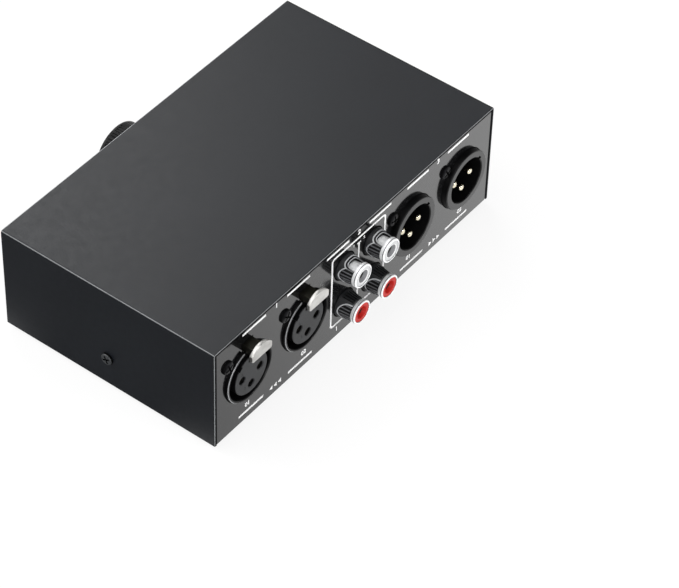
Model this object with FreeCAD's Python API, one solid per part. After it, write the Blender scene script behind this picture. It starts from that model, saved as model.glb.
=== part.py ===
import FreeCAD, Part
import math
import os

from FreeCAD import Vector

# Balanced and phono audio selector: a folded steel case with a volume knob and two push buttons in front,
# and behind two socket inputs with latches, two pin outputs and a block of four phono jacks.
# Millimetres. +Z is up and -Y is the front. The origin is in the middle of the outline, where the feet stand.

# Case
case_depth = 83.4
cover_sheet = 1.0
cover_edge_radius = 0.8
cover_gap = 0.35
panel_sheet = 1.2
tray_sheet = 1.2
tray_lip_height = 4.0
tray_bend_radius = 0.4
panel_inset = 0.2
socket_end_gap = 1.6
socket_headroom = 4.5
foot_diameter = 10.0
foot_height = 2.0
foot_edge_radius = 0.5
foot_inset = 12.0

# Clearances that the fits share
thread_fit = 0.02
seat_fit = 0.02
running_fit = 0.05
screw_hole_clearance = 0.2
lead_hole_clearance = 0.15
slide_clearance = 0.3

# Screws
cover_screw_above_board = 5.0
cover_screw_thread = 2.9
cover_screw_length = 5.0
cover_screw_head_diameter = 4.6
cover_screw_head_height = 1.0
cover_tab_width = 14.0
cover_tab_margin = 5.0
socket_screw_thread = 2.8
socket_screw_length = 6.0
socket_screw_head_diameter = 4.7
socket_screw_head_height = 1.1
socket_screw_gap = 0.487
socket_screw_angle = 44.4
board_screw_thread = 2.9
board_screw_length = 4.2
board_screw_head_diameter = 5.4
board_screw_head_height = 1.8
recess_width = 0.55
recess_share_of_head = 0.62
recess_depth_share = 0.55
screw_edge_radius = 0.35

# Main board, its standoffs and the leads that are soldered into it
board_thickness = 1.6
board_gap = 0.8
standoff_height = 3.4
standoff_across_flats = 5.5
standoff_inset_x = 7.0
standoff_front_inset = 6.0
standoff_lead_gap = 5.0
standoff_bore_share = 0.9
lead_diameter = 1.0
lead_bend_radius = 0.9
lead_stub = 0.3

# Balanced sockets, inputs and outputs
socket_axis_height = 14.0
socket_gap = 1.0
phono_socket_gap = 0.22
flange_lip = 1.25
flange_overhang = 1.2
flange_thickness = 3.0
barrel_diameter = 21.2
barrel_edge_radius = 0.35
barrel_entry_lead = 0.25
barrel_hole_clearance = 0.3
contact_circle = 8.38
contact_angles = (0.0, 180.0, 270.0)
contact_tail_diameter = 2.0

# Input sockets, which take pins
input_barrel_proud = 1.15
input_barrel_wall = 1.0
input_body_depth = 16.0
groove_depth = 14.0
insert_diameter = 15.2
insert_proud = 1.5
insert_edge_radius = 0.25
insert_slot_width = 2.6
insert_slot_drop = 2.0
insert_slot_depth = 2.0
insert_key_angle = 47.0
insert_key_width = 1.8
insert_key_depth = 0.6
contact_bore = 2.5
contact_bore_depth = 9.0
contact_wall = 0.45
contact_entry_lead = 0.25
contact_setback = 1.2

# Latches of the input sockets
latch_groove_gap = 0.8
latch_tab_width = 9.4
latch_tab_height = 4.8
latch_tab_crown = 2.4
latch_tab_corner_radius = 0.9
latch_tab_thickness = 1.3
latch_tab_proud = 5.6
latch_tab_edge_radius = 0.3
latch_neck_width = 4.7
latch_neck_height = 2.8
latch_cover = 0.6
latch_shoulder_width = 7.6
latch_shoulder_length = 2.0
latch_travel = 1.8
latch_hook_width = 3.0
latch_hook_reach = 0.6
latch_hook_length = 2.0
latch_hook_setback = 1.6
latch_spring_length = 6.0
latch_spring_diameter = 2.6
latch_spring_wall = 0.4

# Output sockets, which hold pins
output_barrel_proud = 2.1
output_body_depth = 12.0
well_diameter = 16.15
well_depth = 12.5
well_key_angle = 141.0
well_key_width = 1.7
well_key_depth = 0.8
pin_diameter = 2.4
pin_setback = 1.4
pin_tip_radius = 0.8

# Phono jacks
phono_column_pitch = 14.16
phono_row_pitch = 15.7
phono_proud = 7.4
phono_ring_diameter = 8.3
phono_ring_length = 2.3
phono_ring_bevel = 0.35
phono_ring_wall = 0.6
phono_neck_wall = 0.45
phono_neck_taper_start = 1.0
phono_shell_seat = 2.0
phono_stem_wall = 0.4
phono_insulator_setback = 0.15
phono_entry_lead = 0.4
phono_entry_depth = 1.2
phono_contact_bore = 3.2
phono_contact_wall = 0.5
phono_contact_length = 8.0
phono_contact_bore_depth = 7.0
phono_hole_gap = 0.6
phono_block_gap = 0.2
phono_block_depth = 10.0
phono_block_lip = 1.7
phono_collar_diameter = 9.2
phono_collar_proud = 0.5
phono_sleeve_diameter = 7.9
phono_sleeve_wall = 0.55
phono_sleeve_to_ring = 0.2
phono_sleeve_round_proud = 1.6
phono_sleeve_open_above = 1.4
phono_flank_skin = 0.15
phono_flank_start = 1.0
phono_flank_top = 1.1
phono_flank_bottom = -2.3
phono_rib_count = 5
phono_rib_spacing = 16.0
phono_rib_width = 0.35
phono_rib_depth = 0.2

# Volume knob and the potentiometer behind it
pot_axis_height = 8.0
knob_diameter = 21.0
knob_proud = 14.7
knob_gap = 0.8
knob_front_bevel = 0.45
knob_nut_gap = 1.65
knob_bushing_gap = 1.4
knob_bore_floor = 2.2
knob_rib_count = 60
knob_rib_depth = 0.25
knob_rib_width = 0.45
knob_rib_front = 1.2
shaft_diameter = 6.0
shaft_flat_depth = 1.5
shaft_flat_length = 6.0
shaft_tip_gap = 0.3
bushing_wall = 1.0
bushing_beyond_nut = 1.9
pot_nut_wall = 1.5
pot_nut_thickness = 2.0
pot_washer_rim = 0.75
pot_washer_thickness = 0.5
pot_plate_width = 17.0
pot_plate_thickness = 2.0
pot_board_gap = 0.2
wafer_count = 4
wafer_width = 16.4
wafer_thickness = 4.0
wafer_gap = 1.6
wiper_diameter = 10.0
spindle_diameter = 3.0
rivet_diameter = 1.6
rivet_inset = 1.8
pot_terminal_spacing = 5.0

# Push buttons and their switches
button_spacing = 74.2
switch_axis_height = 6.4
button_base_diameter = 6.6
button_tip_diameter = 4.8
button_proud = 4.6
button_edge_radius = 0.4
button_travel = 2.0
button_tail = 1.0
button_hole_clearance = 0.35
button_socket_depth = 3.0
plunger_width = 2.8
plunger_engagement = 10.0
switch_front_gap = 6.8
switch_width = 12.0
switch_above_axis = 5.0
switch_length = 24.0
switch_spring_wall = 0.4
switch_terminal_rows = 2
switch_terminals_in_row = 6
switch_terminal_pitch = 3.2
switch_terminal_row_spacing = 7.0

# A cutting tool runs this far past the face that it opens
overcut = 1.0

# Heights, from the feet up through the main board and the sockets on it to the cover
case_bottom = foot_height
floor_top = case_bottom + tray_sheet
board_bottom = floor_top + standoff_height
board_top = board_bottom + board_thickness
lead_end_z = (board_bottom + floor_top) / 2
socket_z = board_top + socket_axis_height
groove_diameter = barrel_diameter - 2 * input_barrel_wall
latch_low = groove_diameter / 2 + latch_groove_gap
latch_high = latch_low + latch_neck_height
socket_body_top = socket_z + latch_high + latch_cover
case_top = socket_body_top + socket_headroom + cover_sheet
panel_top = case_top - cover_sheet - cover_gap
cover_screw_z = board_top + cover_screw_above_board
knob_z = board_top + pot_axis_height
button_z = board_top + switch_axis_height

# Depths, with the knob and the phono jacks equally far from the origin
case_y = (knob_proud - phono_proud) / 2
case_front_y = case_y - case_depth / 2
case_rear_y = case_y + case_depth / 2
front_y = case_front_y + panel_inset
rear_y = case_rear_y - panel_inset
front_inner_y = front_y + panel_sheet
rear_inner_y = rear_y - panel_sheet

# Widths, from the phono jacks in the middle out past the sockets to the cover
phono_collar_radius = phono_collar_diameter / 2
phono_block_half_width = phono_column_pitch / 2 + phono_collar_radius + phono_block_lip
socket_screw_radius = barrel_diameter / 2 + socket_screw_gap + socket_screw_head_diameter / 2
socket_screw_across = socket_screw_radius * math.cos(math.radians(socket_screw_angle))
socket_screw_up = socket_screw_radius * math.sin(math.radians(socket_screw_angle))
flange_width = 2 * (socket_screw_across + socket_screw_head_diameter / 2 + flange_lip)
inner_socket_x = phono_block_half_width + phono_socket_gap + flange_width / 2
outer_socket_x = inner_socket_x + flange_width + socket_gap
cover_inner_x = outer_socket_x + flange_width / 2 + socket_end_gap
case_width = 2 * (cover_inner_x + cover_sheet)
tray_half_width = cover_inner_x - cover_gap
input_sockets = (("1", outer_socket_x), ("2", inner_socket_x))
output_sockets = (("1", -inner_socket_x), ("2", -outer_socket_x))
button_places = (("input", -button_spacing / 2), ("output", button_spacing / 2))

# Sizes that follow from their neighbours
lead_radius = lead_diameter / 2
lead_room = lead_bend_radius + lead_stub
contact_radius = contact_circle / 2
contact_diameter = contact_bore + 2 * contact_wall
phono_contact_diameter = phono_contact_bore + 2 * phono_contact_wall
phono_neck_bore = phono_contact_diameter + 2 * phono_stem_wall
phono_neck_back = phono_neck_bore + 2 * phono_neck_wall
phono_neck_front = phono_sleeve_diameter - 2 * phono_sleeve_wall
phono_ring_bore = phono_ring_diameter - 2 * phono_ring_wall
bushing_diameter = shaft_diameter + 2 * bushing_wall
bushing_proud = pot_washer_thickness + pot_nut_thickness + bushing_beyond_nut
pot_nut_across_flats = bushing_diameter + 2 * pot_nut_wall
pot_nut_across_corners = pot_nut_across_flats / math.cos(math.radians(30))
knob_cavity_diameter = pot_nut_across_corners + 2 * knob_nut_gap
plunger_diagonal = plunger_width * math.sqrt(2)
switch_spring_bore = plunger_diagonal + 2 * slide_clearance

# Places along Y, as distances out of the rear panel's outer face
flange_back = -panel_sheet - flange_thickness
input_body_back = flange_back - input_body_depth
output_body_back = flange_back - output_body_depth
groove_floor = input_barrel_proud - groove_depth
well_floor = output_barrel_proud - well_depth
insert_contact_front = insert_proud - contact_setback
pin_tip = output_barrel_proud - pin_setback
latch_shoulder_front = flange_back - slide_clearance
latch_shoulder_back = latch_shoulder_front - latch_shoulder_length
latch_channel_end = latch_shoulder_back - latch_spring_length
phono_block_front = -panel_sheet - phono_block_gap
phono_block_back = phono_block_front - phono_block_depth
phono_shell_back = phono_block_front - phono_shell_seat
phono_ring_back = phono_proud - phono_ring_length
phono_sleeve_end = phono_ring_back - phono_sleeve_to_ring
phono_insulator_front = phono_proud - phono_insulator_setback
phono_insulator_step = phono_ring_back + phono_ring_wall
phono_contact_front = phono_insulator_front - phono_entry_depth
phono_contact_back = phono_contact_front - phono_contact_length

# Places along Y, as distances ahead of the front panel's outer face
pot_plate_back = -panel_sheet - pot_plate_thickness
wafer_pitch = wafer_thickness + wafer_gap
wafer_stack_back = pot_plate_back - wafer_count * wafer_pitch
shaft_tip = knob_proud - knob_bore_floor - shaft_tip_gap
shaft_flat_back = shaft_tip - shaft_flat_length
button_back = -panel_sheet - button_tail
switch_front = -panel_sheet - switch_front_gap
switch_back = switch_front - switch_length

# Standoffs stand between the front panel and the leads of the input sockets
input_lead_y = rear_y + input_body_back - lead_room
standoff_x = tray_half_width - standoff_inset_x
standoff_rows = (front_inner_y + standoff_front_inset, input_lead_y - standoff_lead_gap)
standoff_places = [(side * standoff_x, y) for side in (-1, 1) for y in standoff_rows]
standoff_bore = standoff_height * standoff_bore_share
phono_x = phono_column_pitch / 2
phono_rise = phono_row_pitch / 2
phono_places = [(side * phono_x, socket_z + row * phono_rise) for row in (1, -1) for side in (1, -1)]
contact_directions = [(math.cos(math.radians(a)), math.sin(math.radians(a))) for a in contact_angles]
contact_offsets = [(contact_radius * across, contact_radius * up) for across, up in contact_directions]


# Basic solids
def box(x0, x1, y0, y1, z0, z1):
    return Part.makeBox(x1 - x0, y1 - y0, z1 - z0, Vector(x0, y0, z0))


def rod_x(x0, x1, y, z, radius):
    return Part.makeCylinder(radius, x1 - x0, Vector(x0, y, z), Vector(1, 0, 0))


def rod_y(x, y0, y1, z, radius):
    return Part.makeCylinder(radius, y1 - y0, Vector(x, y0, z), Vector(0, 1, 0))


def rod_z(x, y, z0, z1, radius):
    return Part.makeCylinder(radius, z1 - z0, Vector(x, y, z0), Vector(0, 0, 1))


def cone_y(x, y0, y1, z, radius0, radius1):
    return Part.makeCone(radius0, radius1, y1 - y0, Vector(x, y0, z), Vector(0, 1, 0))


def fused(shapes):
    return shapes[0].fuse(shapes[1:]).removeSplitter()


def hex_points(across_flats):
    corner = across_flats / 2 / math.cos(math.radians(30))
    angles = [math.radians(60 * i) for i in range(7)]
    return [(corner * math.cos(a), corner * math.sin(a)) for a in angles]


def rounded(shape, radius, wanted):
    return shape.makeFillet(radius, [edge for edge in shape.Edges if wanted(edge)])


def bevelled(shape, width, wanted):
    return shape.makeChamfer(width, [edge for edge in shape.Edges if wanted(edge)])


# Picks the round edge of that radius that lies square to Y at y
def circle_at_y(y, radius):
    def wanted(edge):
        curve = edge.Curve
        same_radius = isinstance(curve, Part.Circle) and abs(curve.Radius - radius) < 1e-6
        return same_radius and abs(edge.CenterOfMass.y - y) < 1e-6

    return wanted


# A distance out of the rear panel's outer face
def out(distance):
    return rear_y + distance


# A distance ahead of the front panel's outer face
def ahead(distance):
    return front_y - distance


# A cross-head screw along Y, seated at the origin with its head towards +Y
def screw(head_diameter, head_height, thread, length):
    head = rod_y(0, 0, head_height, 0, head_diameter / 2)
    edge_radius = min(screw_edge_radius, head_height / 2)
    head = rounded(head, edge_radius, circle_at_y(head_height, head_diameter / 2))
    shank = rod_y(0, -length, 0, 0, thread / 2)
    reach = head_diameter * recess_share_of_head / 2
    floor = head_height * (1 - recess_depth_share)
    bar = box(-reach, reach, floor, head_height + overcut, -recess_width / 2, recess_width / 2)
    cross = bar.copy()
    cross.rotate(Vector(0, 0, 0), Vector(0, 1, 0), 90)
    return fused([head, shank]).cut([bar, cross])


# A round lead that runs back from y, bends down and ends below the main board
def bent_lead(x, y, z):
    bend_y = y - lead_stub
    stub = rod_y(x, bend_y, y, z, lead_radius)
    section = Part.Face(Part.Wire(Part.makeCircle(lead_radius, Vector(x, bend_y, z), Vector(0, 1, 0))))
    elbow = section.revolve(Vector(x, bend_y, z - lead_bend_radius), Vector(1, 0, 0), 90)
    leg = rod_z(x, y - lead_room, lead_end_z, z - lead_bend_radius, lead_radius)
    return [stub, elbow, leg]


# Case
def is_cover_fold(edge):
    centre = edge.CenterOfMass
    return abs(centre.z - case_top) < 1e-6 and abs(abs(centre.x) - case_width / 2) < 1e-6


def top_cover():
    half = case_width / 2
    outer = box(-half, half, case_front_y, case_rear_y, case_bottom, case_top)
    outer = rounded(outer, cover_edge_radius, is_cover_fold)
    inner = box(
        -cover_inner_x,
        cover_inner_x,
        case_front_y - overcut,
        case_rear_y + overcut,
        case_bottom - overcut,
        case_top - cover_sheet,
    )
    hole_radius = cover_screw_thread / 2 + screw_hole_clearance
    return outer.cut([inner, rod_x(-case_width, case_width, case_y, cover_screw_z, hole_radius)])


# Picks the tray's edges along X at that height
def tray_fold(z):
    def wanted(edge):
        return abs(edge.CenterOfMass.z - z) < 1e-6 and abs(edge.CenterOfMass.x) < 1e-6

    return wanted


def panel_hole(x, z, radius):
    return rod_y(x, case_front_y - overcut, case_rear_y + overcut, z, radius)


def latch_notch(x):
    half = latch_neck_width / 2 + slide_clearance
    top = socket_z + latch_high + slide_clearance
    return box(x - half, x + half, rear_inner_y - overcut, rear_y + overcut, socket_z, top)


def rear_panel():
    panel = box(-tray_half_width, tray_half_width, rear_inner_y, rear_y, case_bottom, panel_top)
    holes = [latch_notch(x) for name, x in input_sockets]
    screw_hole = socket_screw_thread / 2 + screw_hole_clearance
    for name, x in input_sockets + output_sockets:
        holes.append(panel_hole(x, socket_z, barrel_diameter / 2 + barrel_hole_clearance))
        holes.append(panel_hole(x + socket_screw_across, socket_z + socket_screw_up, screw_hole))
    for x, z in phono_places:
        holes.append(panel_hole(x, z, phono_collar_radius + phono_hole_gap))
    return panel.cut(holes)


def front_panel():
    panel = box(-tray_half_width, tray_half_width, front_y, front_inner_y, case_bottom, panel_top)
    holes = [panel_hole(0, knob_z, bushing_diameter / 2 + screw_hole_clearance)]
    for name, x in button_places:
        holes.append(panel_hole(x, button_z, button_base_diameter / 2 + button_hole_clearance))
    return panel.cut(holes)


# The floor, with a low lip against each panel and a tab at each side for the cover's screw
def bottom_tray():
    lip_top = floor_top + tray_lip_height
    outside = box(-tray_half_width, tray_half_width, front_inner_y, rear_inner_y, case_bottom, lip_top)
    outside = rounded(outside, tray_bend_radius + tray_sheet, tray_fold(case_bottom))
    y0 = front_inner_y + tray_sheet
    y1 = rear_inner_y - tray_sheet
    inside = box(-case_width, case_width, y0, y1, floor_top, case_top)
    inside = rounded(inside, tray_bend_radius, tray_fold(floor_top))
    pieces = [outside.cut(inside)]
    y0 = case_y - cover_tab_width / 2
    y1 = case_y + cover_tab_width / 2
    tab_top = cover_screw_z + cover_tab_margin
    pieces.append(box(-tray_half_width, tray_sheet - tray_half_width, y0, y1, case_bottom, tab_top))
    pieces.append(box(tray_half_width - tray_sheet, tray_half_width, y0, y1, case_bottom, tab_top))
    thread = cover_screw_thread / 2 + thread_fit
    return fused(pieces).cut(rod_x(-case_width, case_width, case_y, cover_screw_z, thread))


def cover_screws():
    screws = []
    head = (cover_screw_head_diameter, cover_screw_head_height)
    for side in (-1, 1):
        one = screw(*head, cover_screw_thread, cover_screw_length)
        one.rotate(Vector(0, 0, 0), Vector(0, 0, 1), -90 * side)
        one.translate(Vector(side * case_width / 2, case_y, cover_screw_z))
        screws.append(one)
    return Part.makeCompound(screws)


def rubber_feet():
    feet = []
    reach_x = case_width / 2 - foot_inset
    reach_y = case_depth / 2 - foot_inset
    edge_radius = min(foot_edge_radius, foot_height / 3)
    for x, y in [(sx * reach_x, case_y + sy * reach_y) for sx in (-1, 1) for sy in (-1, 1)]:
        foot = rod_z(x, y, 0, foot_height, foot_diameter / 2)
        feet.append(rounded(foot, edge_radius, lambda edge: edge.CenterOfMass.z < 1e-6))
    return Part.makeCompound(feet)


# Main board
def main_board():
    inset = tray_sheet + board_gap
    half = tray_half_width - inset
    board = box(-half, half, front_inner_y + inset, rear_inner_y - inset, board_bottom, board_top)
    low = board_bottom - overcut
    high = board_top + overcut
    lead_hole = lead_radius + lead_hole_clearance
    screw_hole = board_screw_thread / 2 + screw_hole_clearance
    holes = [rod_z(x, y, low, high, lead_hole) for x, y in lead_places()]
    holes += [rod_z(x, y, low, high, screw_hole) for x, y in standoff_places]
    return board.cut(holes)


def board_standoffs():
    pillars = []
    for x, y in standoff_places:
        corners = [Vector(x + px, y + py, floor_top) for px, py in hex_points(standoff_across_flats)]
        pillar = Part.Face(Part.makePolygon(corners)).extrude(Vector(0, 0, standoff_height))
        bore_floor = board_bottom - standoff_bore
        bore = rod_z(x, y, bore_floor, board_bottom + overcut, board_screw_thread / 2 + thread_fit)
        pillars.append(pillar.cut(bore))
    return Part.makeCompound(pillars)


def board_screws():
    screws = []
    reach = min(board_screw_length, board_thickness + standoff_bore - slide_clearance)
    for x, y in standoff_places:
        one = screw(board_screw_head_diameter, board_screw_head_height, board_screw_thread, reach)
        one.rotate(Vector(0, 0, 0), Vector(1, 0, 0), 90)
        one.translate(Vector(x, y, board_top))
        screws.append(one)
    return Part.makeCompound(screws)


# Balanced sockets
def socket_body(x, proud, back):
    half = flange_width / 2
    flange = box(x - half, x + half, out(flange_back), out(-panel_sheet), board_top, socket_body_top)
    half = flange_width / 2 - flange_overhang
    block = box(x - half, x + half, out(back), out(flange_back), board_top, socket_body_top)
    barrel = rod_y(x, out(-panel_sheet), out(proud), socket_z, barrel_diameter / 2)
    body = fused([flange, block, barrel])
    body = rounded(body, barrel_edge_radius, circle_at_y(out(proud), barrel_diameter / 2))
    thread_end = -panel_sheet - socket_screw_length - overcut
    thread_x = x + socket_screw_across
    thread_z = socket_z + socket_screw_up
    thread = rod_y(thread_x, out(thread_end), out(0), thread_z, socket_screw_thread / 2 + thread_fit)
    return body.cut(thread)


# A keyway along the edge of a round bore or insert, turned about the socket's axis
def keyway(x, reach0, reach1, width, floor, front, angle):
    key = box(x + reach0, x + reach1, out(floor), out(front), socket_z - width / 2, socket_z + width / 2)
    key.rotate(Vector(x, 0, socket_z), Vector(0, 1, 0), -angle)
    return key


def tail_holes(x, back, front):
    hole = contact_tail_diameter / 2 + seat_fit
    return [rod_y(x + dx, out(back), out(front), socket_z + dz, hole) for dx, dz in contact_offsets]


# A round bore from floor to front whose mouth opens in a short cone
def flared_bore(x, floor, front, radius):
    wide = radius + barrel_entry_lead + overcut
    bore = rod_y(x, out(floor), out(front + overcut), socket_z, radius)
    return bore.fuse(cone_y(x, out(front - barrel_entry_lead), out(front + overcut), socket_z, radius, wide))


def input_housing(x):
    body = socket_body(x, input_barrel_proud, input_body_back)
    front = input_barrel_proud + overcut
    groove = flared_bore(x, groove_floor, input_barrel_proud, groove_diameter / 2)
    low = socket_z + latch_low - latch_groove_gap - latch_hook_reach
    half = latch_neck_width / 2 + slide_clearance
    high = socket_z + latch_high + slide_clearance
    mouth = box(x - half, x + half, out(latch_shoulder_front), out(front), low, high)
    half = latch_shoulder_width / 2 + slide_clearance
    top = socket_body_top + overcut
    channel = box(x - half, x + half, out(latch_channel_end), out(flange_back), low, top)
    holes = tail_holes(x, input_body_back - overcut, groove_floor + overcut)
    return body.cut([groove, mouth, channel] + holes)


def input_insert(x):
    radius = insert_diameter / 2
    insert = rod_y(x, out(groove_floor), out(insert_proud), socket_z, radius)
    insert = rounded(insert, insert_edge_radius, circle_at_y(out(insert_proud), radius))
    front = insert_proud + overcut
    half = insert_slot_width / 2
    slot_floor = socket_z + radius - insert_slot_drop
    slot_top = socket_z + radius + overcut
    slot = box(x - half, x + half, out(insert_proud - insert_slot_depth), out(front), slot_floor, slot_top)
    key_floor = radius - insert_key_depth
    key = keyway(x, key_floor, radius + overcut, insert_key_width, groove_floor, front, insert_key_angle)
    cuts = [slot, key]
    for dx, dz in contact_offsets:
        z = socket_z + dz
        entry = contact_bore / 2 + contact_entry_lead
        seat = contact_diameter / 2 + seat_fit
        cuts.append(rod_y(x + dx, out(insert_contact_front), out(front), z, entry))
        cuts.append(rod_y(x + dx, out(groove_floor - overcut), out(insert_contact_front), z, seat))
    return insert.cut(cuts)


def input_contacts(x):
    contacts = []
    for dx, dz in contact_offsets:
        z = socket_z + dz
        tube = rod_y(x + dx, out(groove_floor), out(insert_contact_front), z, contact_diameter / 2)
        tail = rod_y(x + dx, out(input_body_back), out(groove_floor), z, contact_tail_diameter / 2)
        solid = fused([tube, tail] + bent_lead(x + dx, out(input_body_back), z))
        bore_floor = insert_contact_front - contact_bore_depth
        bore = rod_y(x + dx, out(bore_floor), out(insert_contact_front + overcut), z, contact_bore / 2)
        contacts.append(solid.cut(bore))
    return Part.makeCompound(contacts)


# Picks the edges along Y at the ends of the plate's foot
def is_latch_foot_corner(low):
    def wanted(edge):
        ends = [vertex.Point for vertex in edge.Vertexes]
        return abs(ends[0].y - ends[-1].y) > 1e-6 and all(abs(end.z - low) < 1e-6 for end in ends)

    return wanted


# The plate has a flat foot with round corners, upright sides and an arched top
def latch_plate(x):
    back = out(latch_tab_proud - latch_tab_thickness)
    half = latch_tab_width / 2
    low = socket_z + latch_low
    side_top = low + latch_tab_height - latch_tab_crown
    foot_left = Vector(x - half, back, low)
    foot_right = Vector(x + half, back, low)
    left = Vector(x - half, back, side_top)
    right = Vector(x + half, back, side_top)
    top = Vector(x, back, low + latch_tab_height)
    arch = Part.Arc(left, top, right).toShape()
    sides = [Part.LineSegment(right, foot_right), Part.LineSegment(foot_right, foot_left)]
    sides.append(Part.LineSegment(foot_left, left))
    outline = Part.Wire([arch] + [side.toShape() for side in sides])
    plate = Part.Face(outline).extrude(Vector(0, latch_tab_thickness, 0))
    plate = rounded(plate, latch_tab_corner_radius, is_latch_foot_corner(low))
    face = out(latch_tab_proud)
    return rounded(plate, latch_tab_edge_radius, lambda edge: abs(edge.CenterOfMass.y - face) < 1e-6)


def input_latch(x):
    low = socket_z + latch_low
    high = socket_z + latch_high
    half = latch_neck_width / 2
    neck_front = latch_tab_proud - latch_tab_thickness
    neck = box(x - half, x + half, out(latch_shoulder_front), out(neck_front), low, high)
    half = latch_shoulder_width / 2
    shoulder = box(x - half, x + half, out(latch_shoulder_back), out(latch_shoulder_front), low, high)
    half = latch_hook_width / 2
    hook_front = input_barrel_proud - latch_hook_setback
    hook_low = low - latch_groove_gap - latch_hook_reach
    hook = box(x - half, x + half, out(hook_front - latch_hook_length), out(hook_front), hook_low, low)
    return fused([latch_plate(x), neck, shoulder, hook])


def input_latch_spring(x):
    z = socket_z + (latch_low + latch_high) / 2
    outer = latch_spring_diameter / 2
    coil = rod_y(x, out(latch_channel_end), out(latch_shoulder_back), z, outer)
    middle = rod_y(x, out(latch_channel_end - overcut), out(latch_shoulder_back + overcut), z,
                   outer - latch_spring_wall)
    return coil.cut(middle)


def output_housing(x):
    body = socket_body(x, output_barrel_proud, output_body_back)
    front = output_barrel_proud + overcut
    radius = well_diameter / 2
    well = flared_bore(x, well_floor, output_barrel_proud, radius)
    key = keyway(x, 0, radius + well_key_depth, well_key_width, well_floor, front, well_key_angle)
    holes = tail_holes(x, output_body_back - overcut, well_floor + overcut)
    return body.cut([well, key] + holes)


def output_pins(x):
    pins = []
    radius = pin_diameter / 2
    for dx, dz in contact_offsets:
        z = socket_z + dz
        pin = rod_y(x + dx, out(well_floor), out(pin_tip), z, radius)
        pin = rounded(pin, min(pin_tip_radius, radius * 0.9), circle_at_y(out(pin_tip), radius))
        tail = rod_y(x + dx, out(output_body_back), out(well_floor), z, contact_tail_diameter / 2)
        pins.append(fused([pin, tail] + bent_lead(x + dx, out(output_body_back), z)))
    return Part.makeCompound(pins)


def socket_screws():
    screws = []
    head = (socket_screw_head_diameter, socket_screw_head_height)
    for name, x in input_sockets + output_sockets:
        one = screw(*head, socket_screw_thread, socket_screw_length)
        one.translate(Vector(x + socket_screw_across, rear_y, socket_z + socket_screw_up))
        screws.append(one)
    return Part.makeCompound(screws)


# Phono jacks
def phono_neck(x, z, grow):
    back_radius = phono_neck_back / 2 + grow
    front_radius = phono_neck_front / 2 + grow
    start = rod_y(x, out(phono_shell_back), out(phono_neck_taper_start), z, back_radius)
    taper = cone_y(x, out(phono_neck_taper_start), out(phono_ring_back), z, back_radius, front_radius)
    return fused([start, taper])


# The upper sleeves are open above, so that the shell shows
def sleeve_opening(x, z):
    reach = phono_sleeve_diameter
    low = z + phono_sleeve_open_above
    start = out(phono_sleeve_round_proud)
    return [box(x - reach, x + reach, start, out(phono_ring_back), low, z + reach)]


# The lower sleeves are grooved along their tops
def sleeve_grooves(x, z):
    grooves = []
    radius = phono_sleeve_diameter / 2
    half = phono_rib_width / 2
    for i in range(phono_rib_count):
        groove = box(
            x - half,
            x + half,
            out(phono_flank_start),
            out(phono_ring_back),
            z + radius - phono_rib_depth,
            z + radius + overcut,
        )
        angle = (i - (phono_rib_count - 1) / 2) * phono_rib_spacing
        groove.rotate(Vector(x, 0, z), Vector(0, 1, 0), angle)
        grooves.append(groove)
    return grooves


# A round-ended recess in each flank of a sleeve, open towards the ring
def sleeve_flanks(x, z):
    recesses = []
    half = (phono_flank_top - phono_flank_bottom) / 2
    middle = z + (phono_flank_top + phono_flank_bottom) / 2
    start = out(phono_flank_start + half)
    near = phono_sleeve_diameter / 2 - phono_sleeve_wall + phono_flank_skin
    far = phono_sleeve_diameter / 2 + overcut
    for x0, x1 in ((x - far, x - near), (x + near, x + far)):
        recesses.append(box(x0, x1, start, out(phono_ring_back), middle - half, middle + half))
        recesses.append(rod_x(x0, x1, start, middle, half))
    return recesses


def phono_sleeve(x, z):
    sleeve = rod_y(x, out(phono_block_front), out(phono_sleeve_end), z, phono_sleeve_diameter / 2)
    collar = rod_y(x, out(phono_block_front), out(phono_collar_proud), z, phono_collar_radius)
    top = sleeve_opening(x, z) if z > socket_z else sleeve_grooves(x, z)
    return sleeve.cut(top + sleeve_flanks(x, z)).fuse(collar)


def phono_block():
    half = phono_block_half_width
    block = box(-half, half, out(phono_block_back), out(phono_block_front), board_top, socket_body_top)
    block = fused([block] + [phono_sleeve(x, z) for x, z in phono_places])
    cuts = []
    for x, z in phono_places:
        cuts.append(phono_neck(x, z, seat_fit))
        seat = phono_contact_diameter / 2 + seat_fit
        cuts.append(rod_y(x, out(phono_contact_back), out(phono_block_front), z, seat))
        cuts.append(rod_y(x, out(phono_block_back - overcut), out(phono_contact_back + overcut), z,
                          lead_radius + seat_fit))
    return block.cut(cuts)


def phono_shells():
    shells = []
    radius = phono_ring_diameter / 2
    for x, z in phono_places:
        ring = rod_y(x, out(phono_ring_back), out(phono_proud), z, radius)
        ring = bevelled(ring, phono_ring_bevel, circle_at_y(out(phono_proud), radius))
        shell = fused([phono_neck(x, z, 0), ring])
        front = out(phono_proud + overcut)
        ring_bore = rod_y(x, out(phono_insulator_step), front, z, phono_ring_bore / 2)
        neck_bore = rod_y(x, out(phono_shell_back - overcut), front, z, phono_neck_bore / 2)
        shells.append(shell.cut([ring_bore, neck_bore]))
    return Part.makeCompound(shells)


def phono_insulator(x, z):
    front = out(phono_insulator_front)
    head = rod_y(x, out(phono_insulator_step), front, z, phono_ring_bore / 2 - seat_fit)
    stem = rod_y(x, out(phono_shell_back), front, z, phono_neck_bore / 2 - seat_fit)
    bore_radius = phono_contact_bore / 2
    entry = cone_y(x, out(phono_contact_front), front, z, bore_radius, bore_radius + phono_entry_lead)
    seat = phono_contact_diameter / 2 + seat_fit
    bore = rod_y(x, out(phono_shell_back - overcut), out(phono_contact_front), z, seat)
    return fused([head, stem]).cut([entry, bore])


def phono_insulators(row_is_upper):
    places = [(x, z) for x, z in phono_places if (z > socket_z) == row_is_upper]
    return Part.makeCompound([phono_insulator(x, z) for x, z in places])


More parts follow.
